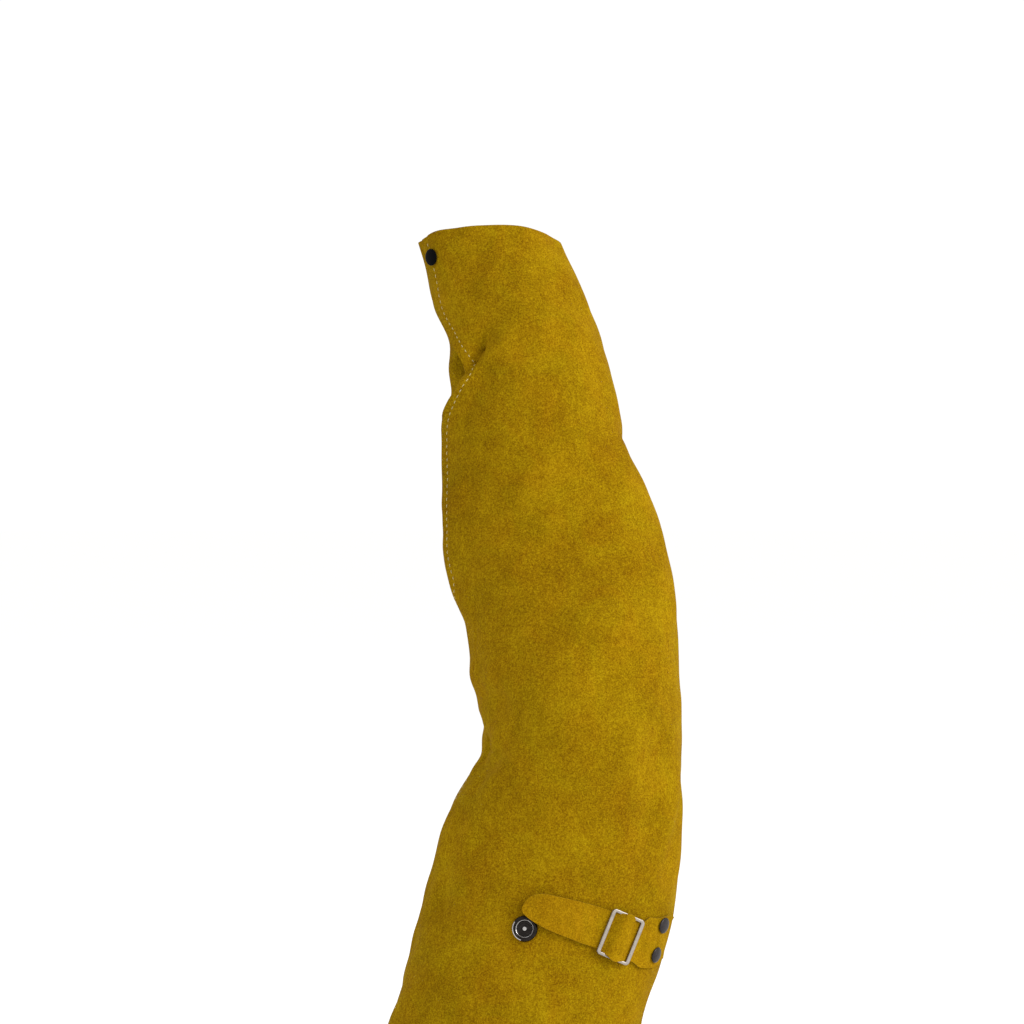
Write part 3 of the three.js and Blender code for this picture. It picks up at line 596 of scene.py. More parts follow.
def grained_material(
    name, dark, light, grain, constants, detail=2.0, fineness=0.5, relief=None, dulling=None
):
    """A new material whose one noise mixes a dark and a light colour.

    grain is the noise's size in millimetres. The same noise may lift the surface, by
    relief's strength and depth in millimetres, and spread its roughness between dulling's
    two values."""
    material, tree, shader, place = new_material(name, constants)
    noise = add_node(
        tree, "ShaderNodeTexNoise",
        {"Vector": place, "Scale": per_mm(grain), "Detail": detail, "Roughness": fineness},
    ).outputs["Fac"]
    colour = add_node(
        tree, "ShaderNodeMix", {0: noise, 6: hex_colour(dark), 7: hex_colour(light)}, data_type="RGBA"
    )
    tree.links.new(colour.outputs[2], shader.inputs["Base Color"])
    if relief:
        strength, depth = relief
        bump = add_node(
            tree, "ShaderNodeBump", {"Height": noise, "Strength": strength, "Distance": depth * MM}
        )
        tree.links.new(bump.outputs[0], shader.inputs["Normal"])
    if dulling:
        low, high = dulling
        spread = add_node(tree, "ShaderNodeMapRange", {"Value": noise, "To Min": low, "To Max": high})
        tree.links.new(spread.outputs[0], shader.inputs["Roughness"])
    return material, tree, shader, place


# %% [markdown]
# ### Split cowhide suede
# The sleeve is split cowhide, the fibrous lower layer of the hide, dyed mustard and buffed to
# a short nap. It has no gloss of its own. The eye reads it from four things: slow patches
# where the hide took more or less dye, blotches as wide as a finger, the tufts of the nap, and
# a pale bloom where the fibres meet the light at a low angle, which the sheen gives. The real
# nap is a few tenths of a millimetre, too fine for this picture, so it is drawn at 1 mm. The
# dark end of its colours is browner than the light end, as it is where the dye is thick, and
# one more slow noise turns the hue a few degrees to olive here and to brown there.

# %% Suede
SHEEN_TINT = hex_colour("#B48C12")


def split_suede(name, dark, middle, light, grain=0.95):
    material, tree, shader, place = new_material(name, {
        "Roughness": 0.95, "IOR": 1.45, "Specular IOR Level": 0.03,
        "Sheen Weight": 0.12, "Sheen Roughness": 0.5, "Sheen Tint": SHEEN_TINT,
    })

    def mottle(size, detail, roughness, share, vector=place, distortion=0.0):
        """Noise of one size, centred on nothing and scaled to its share of the tone."""
        noise = add_node(
            tree, "ShaderNodeTexNoise",
            {"Vector": vector, "Scale": per_mm(size), "Detail": detail, "Roughness": roughness,
             "Distortion": distortion},
        )
        centred = add_node(
            tree, "ShaderNodeMath", {0: noise.outputs["Fac"], 1: -0.5}, operation="ADD"
        )
        scaled = add_node(
            tree, "ShaderNodeMath", {0: centred.outputs[0], 1: share}, operation="MULTIPLY"
        )
        return scaled.outputs[0]

    combed = add_node(
        tree, "ShaderNodeMapping", {"Vector": place, "Rotation": (0.0, 0.12, 0.0), "Scale": (1.0, 1.0, 0.4)}
    )
    layers = [
        mottle(46, 2.0, 0.5, 0.6),
        mottle(12, 3.0, 0.55, 0.42, distortion=0.5),
        mottle(4.0, 2.0, 0.6, 0.4, vector=combed.outputs[0]),
        mottle(grain * 2, 1.0, 0.5, 0.65),
        mottle(grain, 2.0, 0.75, 1.9),
    ]
    tone = 0.5
    for layer in layers:
        tone = add_node(tree, "ShaderNodeMath", {0: layer, 1: tone}, operation="ADD").outputs[0]
    dye = add_node(tree, "ShaderNodeValToRGB", {"Fac": tone})
    dye.color_ramp.elements[0].color = hex_colour(dark)
    dye.color_ramp.elements[1].color = hex_colour(light)
    dye.color_ramp.elements.new(0.5).color = hex_colour(middle)
    uptake = mottle(31, 3.0, 0.6, 0.035, distortion=0.8)
    hue = add_node(tree, "ShaderNodeMath", {0: uptake, 1: 0.5}, operation="ADD")
    stained = add_node(
        tree, "ShaderNodeHueSaturation", {"Hue": hue.outputs[0], "Color": dye.outputs["Color"]}
    )
    tree.links.new(stained.outputs["Color"], shader.inputs["Base Color"])
    soft = add_node(
        tree, "ShaderNodeBump", {"Height": layers[2], "Strength": 0.4, "Distance": 1.2 * MM}
    )
    nap = add_node(
        tree, "ShaderNodeBump",
        {"Height": layers[4], "Strength": 0.7, "Distance": 0.22 * MM, "Normal": soft.outputs[0]},
    )
    tree.links.new(nap.outputs[0], shader.inputs["Normal"])
    return material


sleeve_suede = split_suede("mustard_split_suede", "#654602", "#816203", "#9B7C08")
strap_suede = split_suede("strap_split_suede", "#6C4D02", "#876604", "#A07C09", grain=0.85)
print("materials:", sleeve_suede.name, strap_suede.name)

# %% [markdown]
# ### Raw cut edge
# Where a knife cut the split, the dye hasn't covered the loose fibres so well, so the edge is
# a little duller than the face, and speckled with paler fibre ends.

# %% Cut edge
def cut_edge(name, dark, light):
    """The split's loose fibre ends, as specks of 0.9 mm that stand up a little."""
    return grained_material(
        name, dark, light, 0.9,
        {"Roughness": 0.95, "IOR": 1.45, "Specular IOR Level": 0.05, "Sheen Weight": 0.04,
         "Sheen Tint": SHEEN_TINT},
        detail=4.0, fineness=0.7, relief=(0.7, 0.4),
    )[0]


raw_edge = cut_edge("raw_leather_edge", "#6A500C", "#9A7A1E")

# %% [markdown]
# ## The sleeve's panel
# Now the grid becomes a mesh with both finishes. It stands for the CAD's panel.

# %% Sleeve
leather_uv = np.stack([arcs, np.broadcast_to(levels * SLEEVE_HEIGHT, arcs.shape)], axis=-1)
sleeve = thick_sheet(
    "sleeve_leather", leather_outer, leather_inner, leather_uv, 0.2, [sleeve_suede, raw_edge]
)
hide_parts("sleeve_panel")
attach(sleeve, "root")

# %% [markdown]
# ## Stitches
# The lap is sewn with one row of pale bonded thread, 7.5 mm from the flap's edge, at about
# 4.7 mm a stitch, measured in the photograph. Each stitch comes up through one hole and goes
# down through the next, so it is an arch a little slanted to the row. Inside the sleeve the
# row shows again on the layer that the needle came out of.

# %% Thread
def bonded_thread(name):
    """Bonded polyester thread: a smooth, twisted cord with a soft shine."""
    return grained_material(
        name, "#86703A", "#D6C47E", 0.8, {"Roughness": 0.6, "IOR": 1.5}, relief=(0.5, 0.15)
    )[0]


pale_thread = bonded_thread("pale_bonded_thread")

# %% Places on the leather
STITCH_PITCH = 4.7
STITCH_LENGTH = 3.3
THREAD_RADIUS = 0.34
STITCH_SLANT = 0.45


def on_grid(grid, arc, level):
    """A point of a leather grid, from millimetres past the flap's edge and the level."""
    row = np.interp(level, levels[:, 0], np.arange(ROWS + 1))
    j = min(int(row), ROWS - 1)
    fj = row - j
    found = []
    for r in (j, j + 1):
        i = int(np.clip(np.searchsorted(arcs[r], arc) - 1, 0, arcs.shape[1] - 2))
        fi = (arc - arcs[r, i]) / (arcs[r, i + 1] - arcs[r, i])
        found.append(grid[r, i] * (1 - fi) + grid[r, i + 1] * fi)
    return found[0] * (1 - fj) + found[1] * fj


def runs_along(points):
    """How far along its line each point lies, from the first."""
    return np.concatenate([[0], np.cumsum(np.linalg.norm(np.diff(points, axis=0), axis=1))])


# %% Stitches
THREAD_SIDES = 7
THREAD_STEPS = 6
THREAD_PINCH = 0.28  # how much thinner the thread is pulled at its holes
THREAD_FLAT = 0.8
STITCH_ARCH = 0.75
STITCH_SINK = 0.55


def tube_faces(rings, sides, closed=False):
    """Faces of a tube of rings, each with this many sides, and its caps if it has ends."""
    faces = []
    for ring in range(rings if closed else rings - 1):
        a, b = ring * sides, (ring + 1) % rings * sides
        for k in range(sides):
            after = (k + 1) % sides
            faces.append((a + k, a + after, b + after, b + k))
    if not closed:
        faces.append(tuple(range(sides))[::-1])
        faces.append(tuple((rings - 1) * sides + k for k in range(sides)))
    return faces


def stitch_tube(start, end, out):
    """Points of one stitch: a tube that arches from hole to hole, thinner at its ends."""
    run = unit(end - start)
    side = unit(np.cross(out, run))
    up = np.cross(run, side)
    points = []
    for t in np.linspace(0, 1, THREAD_STEPS + 1):
        arch = math.sin(math.pi * t)
        centre = start + (end - start) * t + up * (STITCH_ARCH * arch - STITCH_SINK)
        radius = THREAD_RADIUS * (1 - THREAD_PINCH * (1 - arch))
        for k in range(THREAD_SIDES):
            turn = 2 * math.pi * k / THREAD_SIDES
            round_it = side * math.cos(turn) + up * THREAD_FLAT * math.sin(turn)
            points.append(centre + radius * round_it)
    return points


def row_of_stitches(points, faces, place, out_sign):
    """Adds a row of stitches. place(distance, offset) gives a point and a normal."""
    count = int(seam_length / STITCH_PITCH) - 1
    one_stitch = tube_faces(THREAD_STEPS + 1, THREAD_SIDES)
    for n in range(count):
        middle = (n + 0.9) * STITCH_PITCH
        wobble = 0.12 * math.sin(2.4 * n) + 0.08 * math.sin(5.1 * n + 1)
        start, normal = place(middle - STITCH_LENGTH / 2, -STITCH_SLANT / 2 + wobble)
        end, _ = place(middle + STITCH_LENGTH / 2, STITCH_SLANT / 2 + wobble)
        if np.linalg.norm(end - start) > 2 * STITCH_LENGTH:
            continue  # at the foot of the vent the row changes from one layer to the other
        base = len(points)
        points.extend(stitch_tube(start, end, normal * out_sign))
        faces.extend(tuple(base + i for i in face) for face in one_stitch)
    return count


seam_line = np.array([on_grid(leather_outer, STITCH_INSET, v) for v in levels[:, 0]])
seam_runs = runs_along(seam_line)
seam_length = float(seam_runs[-1])
print("seam length:", round(seam_length, 1), "mm")


def level_of(distance):
    return float(np.interp(distance, seam_runs, levels[:, 0]))


def on_flap(distance, offset):
    """A place on the outside row: a point and the way outwards."""
    level = level_of(distance)
    arc = STITCH_INSET + offset
    return on_grid(leather_outer, arc, level), on_grid(leather_normals, arc, level)


def inside_lap(distance, offset):
    """The same on the inner row: on the underlap while the lap is sewn, then on the flap."""
    level = level_of(distance)
    girth = 2 * math.pi * float(arc_radius(level))
    arc = STITCH_INSET + offset + (girth - seam_pull(level) if level < VENT_START else 0.0)
    return on_grid(leather_inner, arc, level), on_grid(leather_normals, arc, level)


stitch_points, stitch_faces = [], []
outside = row_of_stitches(stitch_points, stitch_faces, on_flap, 1.0)
row_of_stitches(stitch_points, stitch_faces, inside_lap, -1.0)
stitches = new_mesh_object("seam_stitches", stitch_points, stitch_faces, [pale_thread])
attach(stitches, "root")
print("stitches in each row:", outside)

# %% [markdown]
# ## The strap
# A strap of the same suede is riveted near the right edge, runs round the front of the upper
# arm, threads through the slide and hangs free over the ring snap. It is laid along a smooth
# course over the leather: every point of the strap is placed above the nearest point of the
# skin, so the strap follows it without being simulated.

# %% Course of the strap
STRAP_COURSE = [(349, 0.176), (331, 0.168), (311, 0.1705), (290, 0.182), (265, 0.1885), (235, 0.192)]
COURSE_STEPS = 240
PROBE_ANGLE = 0.5
PROBE_AT = 0.002


def course_place(t):
    """Angle and level on the smooth curve through STRAP_COURSE, t from 0 to 1."""
    rows = np.array(STRAP_COURSE, float)
    place = (len(rows) - 1) * t
    i = min(int(place), len(rows) - 2)
    w = place - i
    before = rows[max(i - 1, 0)]
    low, high = rows[i], rows[i + 1]
    after = rows[min(i + 2, len(rows) - 1)]
    slope_low, slope_high = (high - before) / 2, (after - low) / 2
    return (
        (2 * low - 2 * high + slope_low + slope_high) * w**3
        + (-3 * low + 3 * high - 2 * slope_low - slope_high) * w**2
        + slope_low * w
        + low
    )


course_rows = np.array([course_place(i / COURSE_STEPS) for i in range(COURSE_STEPS + 1)])
course_points = skin_point(course_rows[:, 0], course_rows[:, 1])
course_runs = runs_along(course_points)
print("course length:", round(float(course_runs[-1]), 1), "mm")

# %% Frames on the skin
def across_and_out(point_of, angle, at):
    """Two ways at a place on a surface: round the arm, as measured, and outwards."""
    across = point_of(angle + PROBE_ANGLE, at) - point_of(angle - PROBE_ANGLE, at)
    up = point_of(angle, at + PROBE_AT) - point_of(angle, at - PROBE_AT)
    return across, unit(np.cross(across, up))


def dot(a, b):
    return np.sum(a * b, axis=-1, keepdims=True)


def course_frame(run, across=0.0):
    """Origins and three axes on the skin: along the strap, across it and outwards."""
    run, across = np.broadcast_arrays(np.asarray(run, float), np.asarray(across, float))
    i = np.clip(np.searchsorted(course_runs, run) - 1, 0, COURSE_STEPS - 1)
    share = ((run - course_runs[i]) / (course_runs[i + 1] - course_runs[i]))[..., None]
    place = course_rows[i] * (1 - share) + course_rows[i + 1] * share
    angle, at = place[..., 0], place[..., 1]
    ahead = course_points[i + 1] - course_points[i]
    _, out = across_and_out(skin_point, angle, at)
    side = np.cross(out, unit(ahead - out * dot(ahead, out)))
    target = skin_point(angle, at) + side * across[..., None]
    for _ in range(3):
        here = skin_point(angle, at)
        off = target - here
        a_step = skin_point(angle + PROBE_ANGLE, at) - here
        b_step = skin_point(angle, at + PROBE_AT) - here
        aa, ab, bb = dot(a_step, a_step), dot(a_step, b_step), dot(b_step, b_step)
        pa, pb = dot(off, a_step), dot(off, b_step)
        angle = angle + PROBE_ANGLE * ((pa * bb - pb * ab) / (aa * bb - ab**2))[..., 0]
        at = at + PROBE_AT * ((pb * aa - pa * ab) / (aa * bb - ab**2))[..., 0]
    _, out = across_and_out(skin_point, angle, at)
    along = unit(ahead - out * dot(ahead, out))
    return skin_point(angle, at), along, np.cross(out, along), out


print("strap's riveted end, mm:", course_frame(0.0)[0].round(1))

# %% [markdown]
# In the slide the strap goes under both end bars and over the middle bar, so its lift off
# the leather rises there and falls again, and its pressed edges bulge out over the sides.
# Its riveted end flares, and its corners curl up, as suede does once it has been pulled and
# wetted. The free tip is rounded, and its lower side tapers towards it.

# %% Strap sizes and lift, in millimetres
STRAP_WALL = 1.6
STRAP_WIDTH = 27.0
STRAP_END_WIDTH = 37.0
FLARE_RUN = 8.0
END_CORNER = 6.0
END_CORNER_CUT = 3.0
STRAP_LENGTH = 123.0
STRAP_GAP = 0.4
STRAP_TIP_LIFT = 4.6
TIP_ROUND = 15.0
LOWER_TIP_ROUND = 28.0  # the tip's lower side is cut to a longer round
TIP_FULLNESS = 2.2
TIP_LEAST = 0.005
TIP_TRIM = 5.8
TIP_TRIM_RUN = 44.0
SLIDE_SPAN = 33.0
SLIDE_ALONG = 26.5
SLIDE_BAR = 2.8
SLIDE_SIDE = 2.2
SLIDE_THICK = 1.8
SLIDE_GAP = 0.5
SLIDE_CLEAR = 0.85
SLIDE_AT = 53.0
SNUG_LIFT = 0.35  # how much closer the strap presses up to the end bars
SNUG_RUN = 3.0
CORNER_CURL = 2.2
CURL_RUN = 9.0
WRINKLE = {"height": 0.35, "run": 24.0, "reach": 7.0}  # between the slide and the rivets
EDGE_ROLL = 0.5
ROLL_RUN = 12.0
ROLL_WAVE = 9.0
RIDE_RUN = 7.0
SPILL = 2.7  # how far the strap bulges over the slide's sides
SPILL_RUN = 5.0
WINDOW_FILL = 0.72  # how much wider the strap is squeezed in the slide's windows
END_CUT_UPPER = 2.4  # how much shorter the riveted end is cut at its two corners
END_CUT_LOWER = 9.5
END_CUT_FADE = 30.0
LOWER_SLIM = 2.0  # how much slimmer the riveted end's lower side is

bar_out = (SLIDE_ALONG - SLIDE_BAR) / 2
slide_origin, slide_x, slide_y, slide_z = course_frame(SLIDE_AT)
under_bars = [(course_frame(SLIDE_AT + s * bar_out)[0] - slide_origin) @ slide_z for s in (-1, 1)]
slide_seat = max(under_bars) + STRAP_GAP + STRAP_WALL + SLIDE_GAP
strap_over_bar = slide_seat + SLIDE_THICK + SLIDE_GAP


def strap_lift(run):
    """How far the strap's inner face lies off the skin."""
    from_bar = np.abs(run - SLIDE_AT)
    flat = SLIDE_BAR / 2 + SLIDE_CLEAR
    down = bar_out - SLIDE_BAR / 2 - SLIDE_CLEAR
    over = 1 - smooth((from_bar - flat) / (down - flat))
    free_run = SLIDE_AT + SLIDE_ALONG
    tip = smooth((run - free_run) / (STRAP_LENGTH - free_run))
    snug = SNUG_LIFT * bell((from_bar - bar_out) / SNUG_RUN)
    high = strap_over_bar - STRAP_GAP - snug
    return STRAP_GAP + snug + high * over + (STRAP_TIP_LIFT - STRAP_GAP) * tip


def end_cut(share):
    """Where the riveted end's slanting cut lies on the course, from its upper corner down."""
    return END_CUT_UPPER + (END_CUT_LOWER - END_CUT_UPPER) * (share + 1) / 2


def strap_half_width(run, share):
    """Half the strap's width on one side; share is -1 at its upper edge and 1 at its lower."""
    flare = smooth((SLIDE_AT - SLIDE_ALONG / 2 - run) / FLARE_RUN)
    corner = END_CORNER_CUT * (1 - smooth((run - end_cut(share)) / END_CORNER))
    even = STRAP_WIDTH / 2 + (STRAP_END_WIDTH - STRAP_WIDTH) / 2 * flare - corner
    even = even - np.where(share > 0, LOWER_SLIM * flare, 0.0)
    window = smooth((SLIDE_ALONG / 2 - np.abs(run - SLIDE_AT)) / SLIDE_BAR)
    even = even + WINDOW_FILL * window + SPILL * bell((run - SLIDE_AT) / SPILL_RUN)
    into_trim = np.clip((run - (STRAP_LENGTH - TIP_TRIM_RUN)) / TIP_TRIM_RUN, 0, 1)
    trimmed = even - np.where(share > 0, TIP_TRIM * into_trim, 0.0)
    tip_round = np.where(share > 0, LOWER_TIP_ROUND, TIP_ROUND)
    into_tip = np.clip((run - (STRAP_LENGTH - tip_round)) / tip_round, 0, 1)
    return trimmed * np.sqrt(np.maximum(1 - into_tip**TIP_FULLNESS, TIP_LEAST))


def strap_relief(run, share):
    """Curled corners at the riveted end, edges that ride over the slide, rolled free edges."""
    corner = bell(run / CURL_RUN) * np.abs(share) ** 3 * CORNER_CURL
    ride = bell((run - SLIDE_AT) / RIDE_RUN) * share**4
    wrinkled = WRINKLE["height"] * bell((run - WRINKLE["run"]) / WRINKLE["reach"])
    wrinkle = wrinkled * np.sin(run * 1.1 + 2.0 * share) * (1 - share**2)
    free = smooth((run - SLIDE_AT - SLIDE_ALONG / 2) / ROLL_RUN)
    out = strap_half_width(run, share) * share / (STRAP_WIDTH / 2)
    roll = EDGE_ROLL * free * out**2 * (1 + 0.5 * np.sin(run / ROLL_WAVE))
    return corner + ride + wrinkle + roll


print("strap lift over the middle bar:", round(strap_over_bar, 2), "mm")

# %% Strap
STRAP_ROWS = 130
TIP_ROWS = 26
STRAP_COLUMNS = 20

tip_start = STRAP_LENGTH - TIP_ROUND
straight_runs = tip_start * np.linspace(0, 1, STRAP_ROWS, endpoint=False)
tip_runs = tip_start + TIP_ROUND * np.sin(np.linspace(0, math.pi / 2, TIP_ROWS + 1))
strap_runs = np.concatenate([straight_runs, tip_runs])[:, None]
strap_shares = np.linspace(-1, 1, STRAP_COLUMNS + 1)[None, :]
strap_runs = strap_runs + end_cut(strap_shares) * np.clip(1 - strap_runs / END_CUT_FADE, 0, 1)
strap_across = strap_half_width(strap_runs, strap_shares) * strap_shares
strap_seat, _, _, strap_out = course_frame(strap_runs, strap_across)
strap_height = strap_lift(strap_runs) + STRAP_WALL + strap_relief(strap_runs, strap_shares)
strap_upper = strap_seat + strap_out * strap_height[..., None]
strap_uv = np.stack(np.broadcast_arrays(strap_runs, strap_across), axis=-1)
strap_upper = strap_upper[:, ::-1]
strap_lower = strap_upper - grid_normals(strap_upper) * STRAP_WALL
strap = thick_sheet(
    "strap_leather", strap_upper, strap_lower, strap_uv[:, ::-1], 0.12, [strap_suede, raw_edge]
)
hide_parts("upper_arm_strap")
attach(strap, "root")

# %% [markdown]
# ## The slide
# The slide is a stamped steel plate with two windows, nickel plated. Its bars are swept: a
# section with rounded edges is carried round the frame and once across the middle, which
# gives the soft highlights that stamped and tumbled steel has.

# %% Plated steel
def plated_steel(name, colour, worn, roughness):
    """Nickel plate over steel: bright, with a haze of handling marks and fine scratches."""
    material, tree, shader, place = grained_material(
        name, worn, colour, 3.0, {"Metallic": 1.0}, detail=4.0, fineness=0.65,
        dulling=(roughness - 0.08, roughness + 0.14),
    )
    drawn = add_node(
        tree, "ShaderNodeMapping", {"Vector": place, "Rotation": (0.3, 0.5, 0.2), "Scale": (1.0, 1.0, 0.12)}
    )
    scratches = add_node(
        tree, "ShaderNodeTexNoise", {"Vector": drawn.outputs[0], "Scale": per_mm(0.7), "Detail": 3.0}
    )
    scored = add_node(
        tree, "ShaderNodeBump", {"Height": scratches.outputs["Fac"], "Strength": 0.15, "Distance": 0.05 * MM}
    )
    tree.links.new(scored.outputs[0], shader.inputs["Normal"])
    return material


nickel_plate = plated_steel("dull_nickel_plate", "#AEA59C", "#817A72", 0.37)
gunmetal = plated_steel("gunmetal_plate", "#454142", "#1F1C1C", 0.4)
# a bright plate used only for the ring snap's painted highlights and reflections
painted_highlight_nickel = plated_steel("painted_highlight_nickel_plate", "#D2CFCC", "#86827E", 0.22)
black_nickel = plated_steel("black_nickel_plate", "#35312F", "#161413", 0.3)

# %% Swept bars
def rounded_section(width, thick, points=20):
    """A flat bar's section with well rounded edges, as offsets (sideways, up)."""
    turns = np.linspace(0, 2 * math.pi, points, endpoint=False)
    squareness = 0.45  # 1 is an ellipse and 0 a rectangle
    x = np.sign(np.cos(turns)) * np.abs(np.cos(turns)) ** squareness
    z = np.sign(np.sin(turns)) * np.abs(np.sin(turns)) ** squareness
    return np.stack([x * width / 2, z * thick / 2], axis=-1)


def rounded_path(half_x, half_y, radius, steps=8):
    """A closed rectangle with round corners, and the way outwards at each point."""
    points, outs = [], []
    for quarter, (sx, sy) in enumerate([(1, 1), (-1, 1), (-1, -1), (1, -1)]):
        for i in range(steps + 1):
            turn = (quarter + i / steps) * math.pi / 2
            out = np.array([math.cos(turn), math.sin(turn)])
            points.append(np.array([sx * (half_x - radius), sy * (half_y - radius)]) + out * radius)
            outs.append(out)
    return points, outs


def swept_bar(path, outs, widths, thick, closed):
    """Points and faces of a bar swept along a path in the plate's plane."""
    vertices = []
    for point, out, width in zip(path, outs, widths):
        for x, z in rounded_section(width, thick)[::-1]:
            vertices.append((*(np.asarray(point) + np.asarray(out) * x), z))
    return vertices, tube_faces(len(path), len(vertices) // len(path), closed)


# %% Slide
SLIDE_CORNER = 1.9
BAR_STEPS = 9
BAR_THINNING = 0.96  # the middle bar is a touch thinner than the frame
BAR_INSET = 0.6  # how far its ends stay inside the slide's outer edge, in side widths

frame_path, frame_outs = rounded_path(bar_out, (SLIDE_SPAN - SLIDE_SIDE) / 2, SLIDE_CORNER)
frame_widths = [SLIDE_SIDE + (SLIDE_BAR - SLIDE_SIDE) * abs(out[0]) for out in frame_outs]
slide_points, slide_faces = swept_bar(frame_path, frame_outs, frame_widths, SLIDE_THICK, True)
reach = SLIDE_SPAN / 2 - SLIDE_SIDE * BAR_INSET
bar_path = [(0.0, y) for y in np.linspace(-reach, reach, BAR_STEPS)]
bar_points, bar_faces = swept_bar(
    bar_path, [(1.0, 0.0)] * BAR_STEPS, [SLIDE_BAR] * BAR_STEPS, SLIDE_THICK * BAR_THINNING, False
)
offset = len(slide_points)
slide_points += bar_points
slide_faces += [tuple(offset + i for i in face) for face in bar_faces]


def placed(points, origin, x, y, z, lift=0.0):
    """Points of a small part, turned and moved from its own frame to the sleeve's."""
    points = np.asarray(points)
    return origin + points[:, :1] * x + points[:, 1:2] * y + (points[:, 2:] + lift) * z


slide = new_mesh_object(
    "strap_slide",
    placed(slide_points, slide_origin, slide_x, slide_y, slide_z, slide_seat + SLIDE_THICK / 2),
    slide_faces,
    [nickel_plate],
)
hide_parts("slide_buckle")
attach(slide, "root")

# %% [markdown]
# ## Rivets and snaps
# All of these are turned shapes: a profile spun round an axis. A profile is a short table of
# radius and height. A bevel rounds its corners, because pressed metal has no sharp ones.

# %% Turned parts
TURN_SIDES = 64


def turned_part(name, profile, place, materials, bevel=0.18, bands=None):
    """A closed turned piece from (radius, height) rows, lowest on the axis to highest.

    bands gives, for one of its sides, the material's number of each ring of faces."""
    origin, x, y, z = place
    points, faces = [(0.0, 0.0, profile[0][1])], []
    inner = profile[1:-1]
    for radius, height in inner:
        for k in range(TURN_SIDES):
            turn = 2 * math.pi * k / TURN_SIDES
            points.append((radius * math.cos(turn), radius * math.sin(turn), height))
    points.append((0.0, 0.0, profile[-1][1]))
    top = len(points) - 1
    for k in range(TURN_SIDES):
        after = (k + 1) % TURN_SIDES
        faces.append((0, 1 + after, 1 + k))
        for ring in range(len(inner) - 1):
            a, b = 1 + ring * TURN_SIDES, 1 + (ring + 1) * TURN_SIDES
            faces.append((a + k, a + after, b + after, b + k))
        last = 1 + (len(inner) - 1) * TURN_SIDES
        faces.append((last + k, last + after, top))
    kinds = None if bands is None else [kind for k in range(TURN_SIDES) for kind in bands(k)]
    thing = new_mesh_object(name, placed(points, origin, x, y, z), faces, materials, kinds)
    if bevel:
        edge = thing.modifiers.new("edge", "BEVEL")
        edge.width = bevel * MM
        edge.segments = 3
        edge.limit_method = "ANGLE"
        edge.angle_limit = math.radians(35)
    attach(thing, "root")
    return thing


def dome(radius, base, rise, steps=8):
    """The rows of a dome's profile, from its rim to its top."""
    turns = [math.pi / 2 * i / steps for i in range(1, steps)]
    rows = [(radius * math.cos(t), base + rise * math.sin(t)) for t in turns]
    return rows + [(0.0, base + rise)]


# %% [markdown]
# The strap's two rivets are dark plated, with low domed heads 11 mm across, seated on the
# suede. A washer holds each on the inside.

# %% Rivets
RIVET_RADIUS = 5.5
RIVET_DOME = 1.7
HEAD_BRIM = 0.5
SHANK_RADIUS = 1.6
BURR_RADIUS = 4.2
METAL_SHEET = 0.8
SEAT_GAP = 0.5

rivet_seat = STRAP_GAP + STRAP_WALL + SEAT_GAP
burr = -WALL - INNER_GAP
rivet_profile = [
    (0.0, burr - METAL_SHEET),
    (BURR_RADIUS, burr - METAL_SHEET),
    (BURR_RADIUS, burr),
    (SHANK_RADIUS, burr),
    (SHANK_RADIUS, rivet_seat - 0.35),
    (RIVET_RADIUS * 0.9, rivet_seat - 0.25),
    (RIVET_RADIUS, rivet_seat + 0.1),
    (RIVET_RADIUS, rivet_seat + HEAD_BRIM),
    *dome(RIVET_RADIUS, rivet_seat + HEAD_BRIM, RIVET_DOME - HEAD_BRIM),
]
RIVET_PLACES = {"upper": (15.5, -13.0), "lower": (20.7, 7.3)}  # along the strap and across
for place_name, (run, across) in RIVET_PLACES.items():
    rivet = turned_part(
        f"rivet_{place_name}", rivet_profile, course_frame(run, across), [gunmetal]
    )
    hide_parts(f"strap_rivet_{place_name}")

# %% [markdown]
# The ring snap on the upper arm is the half that the strap's own snap closes on. It has a
# rolled rim, a dished floor and a round knob. The whole is black nickel plated. Its inner lip,
# its knob and its outer edge on the sides that face left and down are painted bright, as
# painted highlights and reflections.

# %% Ring snap
SNAP_RADIUS = 8.7
SNAP_BACK = 4.0
SNAP_ASIDE = 12.75
SNAP_RIM = 2.4
SNAP_FLANGE = 6.5
STUD_RADIUS = 1.9


def frame_on(point_of, angle, at):
    """Origin and axes on a surface: round the arm, up it and outwards."""
    across, out = across_and_out(point_of, angle, at)
    along = unit(across - out * (across @ out))
    return point_of(angle, at), along, np.cross(out, along), out


ring_rows = [
    (1.0, 0.0), (1.02, 0.25), (1.01, 0.5), (0.965, 0.8), (0.9, 0.95), (0.8, 1.0), (0.69, 0.96),
    (0.655, 0.84), (0.61, 0.6), (0.57, 0.42), (0.46, 0.36), (0.43, 0.44), (0.385, 0.46), (0.35, 0.38),
    (0.24, 0.4), (0.2, 0.56), (0.15, 0.66), (0.08, 0.7), (0.0, 0.71),
]
flange = -WALL - INNER_GAP
ring_profile = [
    (0.0, flange - METAL_SHEET),
    (SNAP_FLANGE, flange - METAL_SHEET),
    (SNAP_FLANGE, flange),
    (STUD_RADIUS, flange),
    (STUD_RADIUS, 0.15),
    (SNAP_RADIUS * 0.9, 0.15),
    *[(out * SNAP_RADIUS, SEAT_GAP + up * SNAP_RIM) for out, up in ring_rows],
]
# Painted highlights: the lip, the knob and, on the sides that face left and down, the outer edge take the
# bright plate as painted reflections of light.
LIP_ROWS = (12, 13)
KNOB_ROWS = (22, 23)
EDGE_ROWS = (7, 8, 9)
HIGHLIT_SIDE = [k % TURN_SIDES for k in range(-4, 15)]  # the sides that face left and down


def painted_highlight_bands(side):
    """The material of each stretch of the ring snap's profile on one side: 1 for a painted highlight."""
    bright = {*LIP_ROWS, *KNOB_ROWS, *(EDGE_ROWS if side in HIGHLIT_SIDE else ())}
    return [int(row in bright) for row in range(len(ring_profile) - 1)]


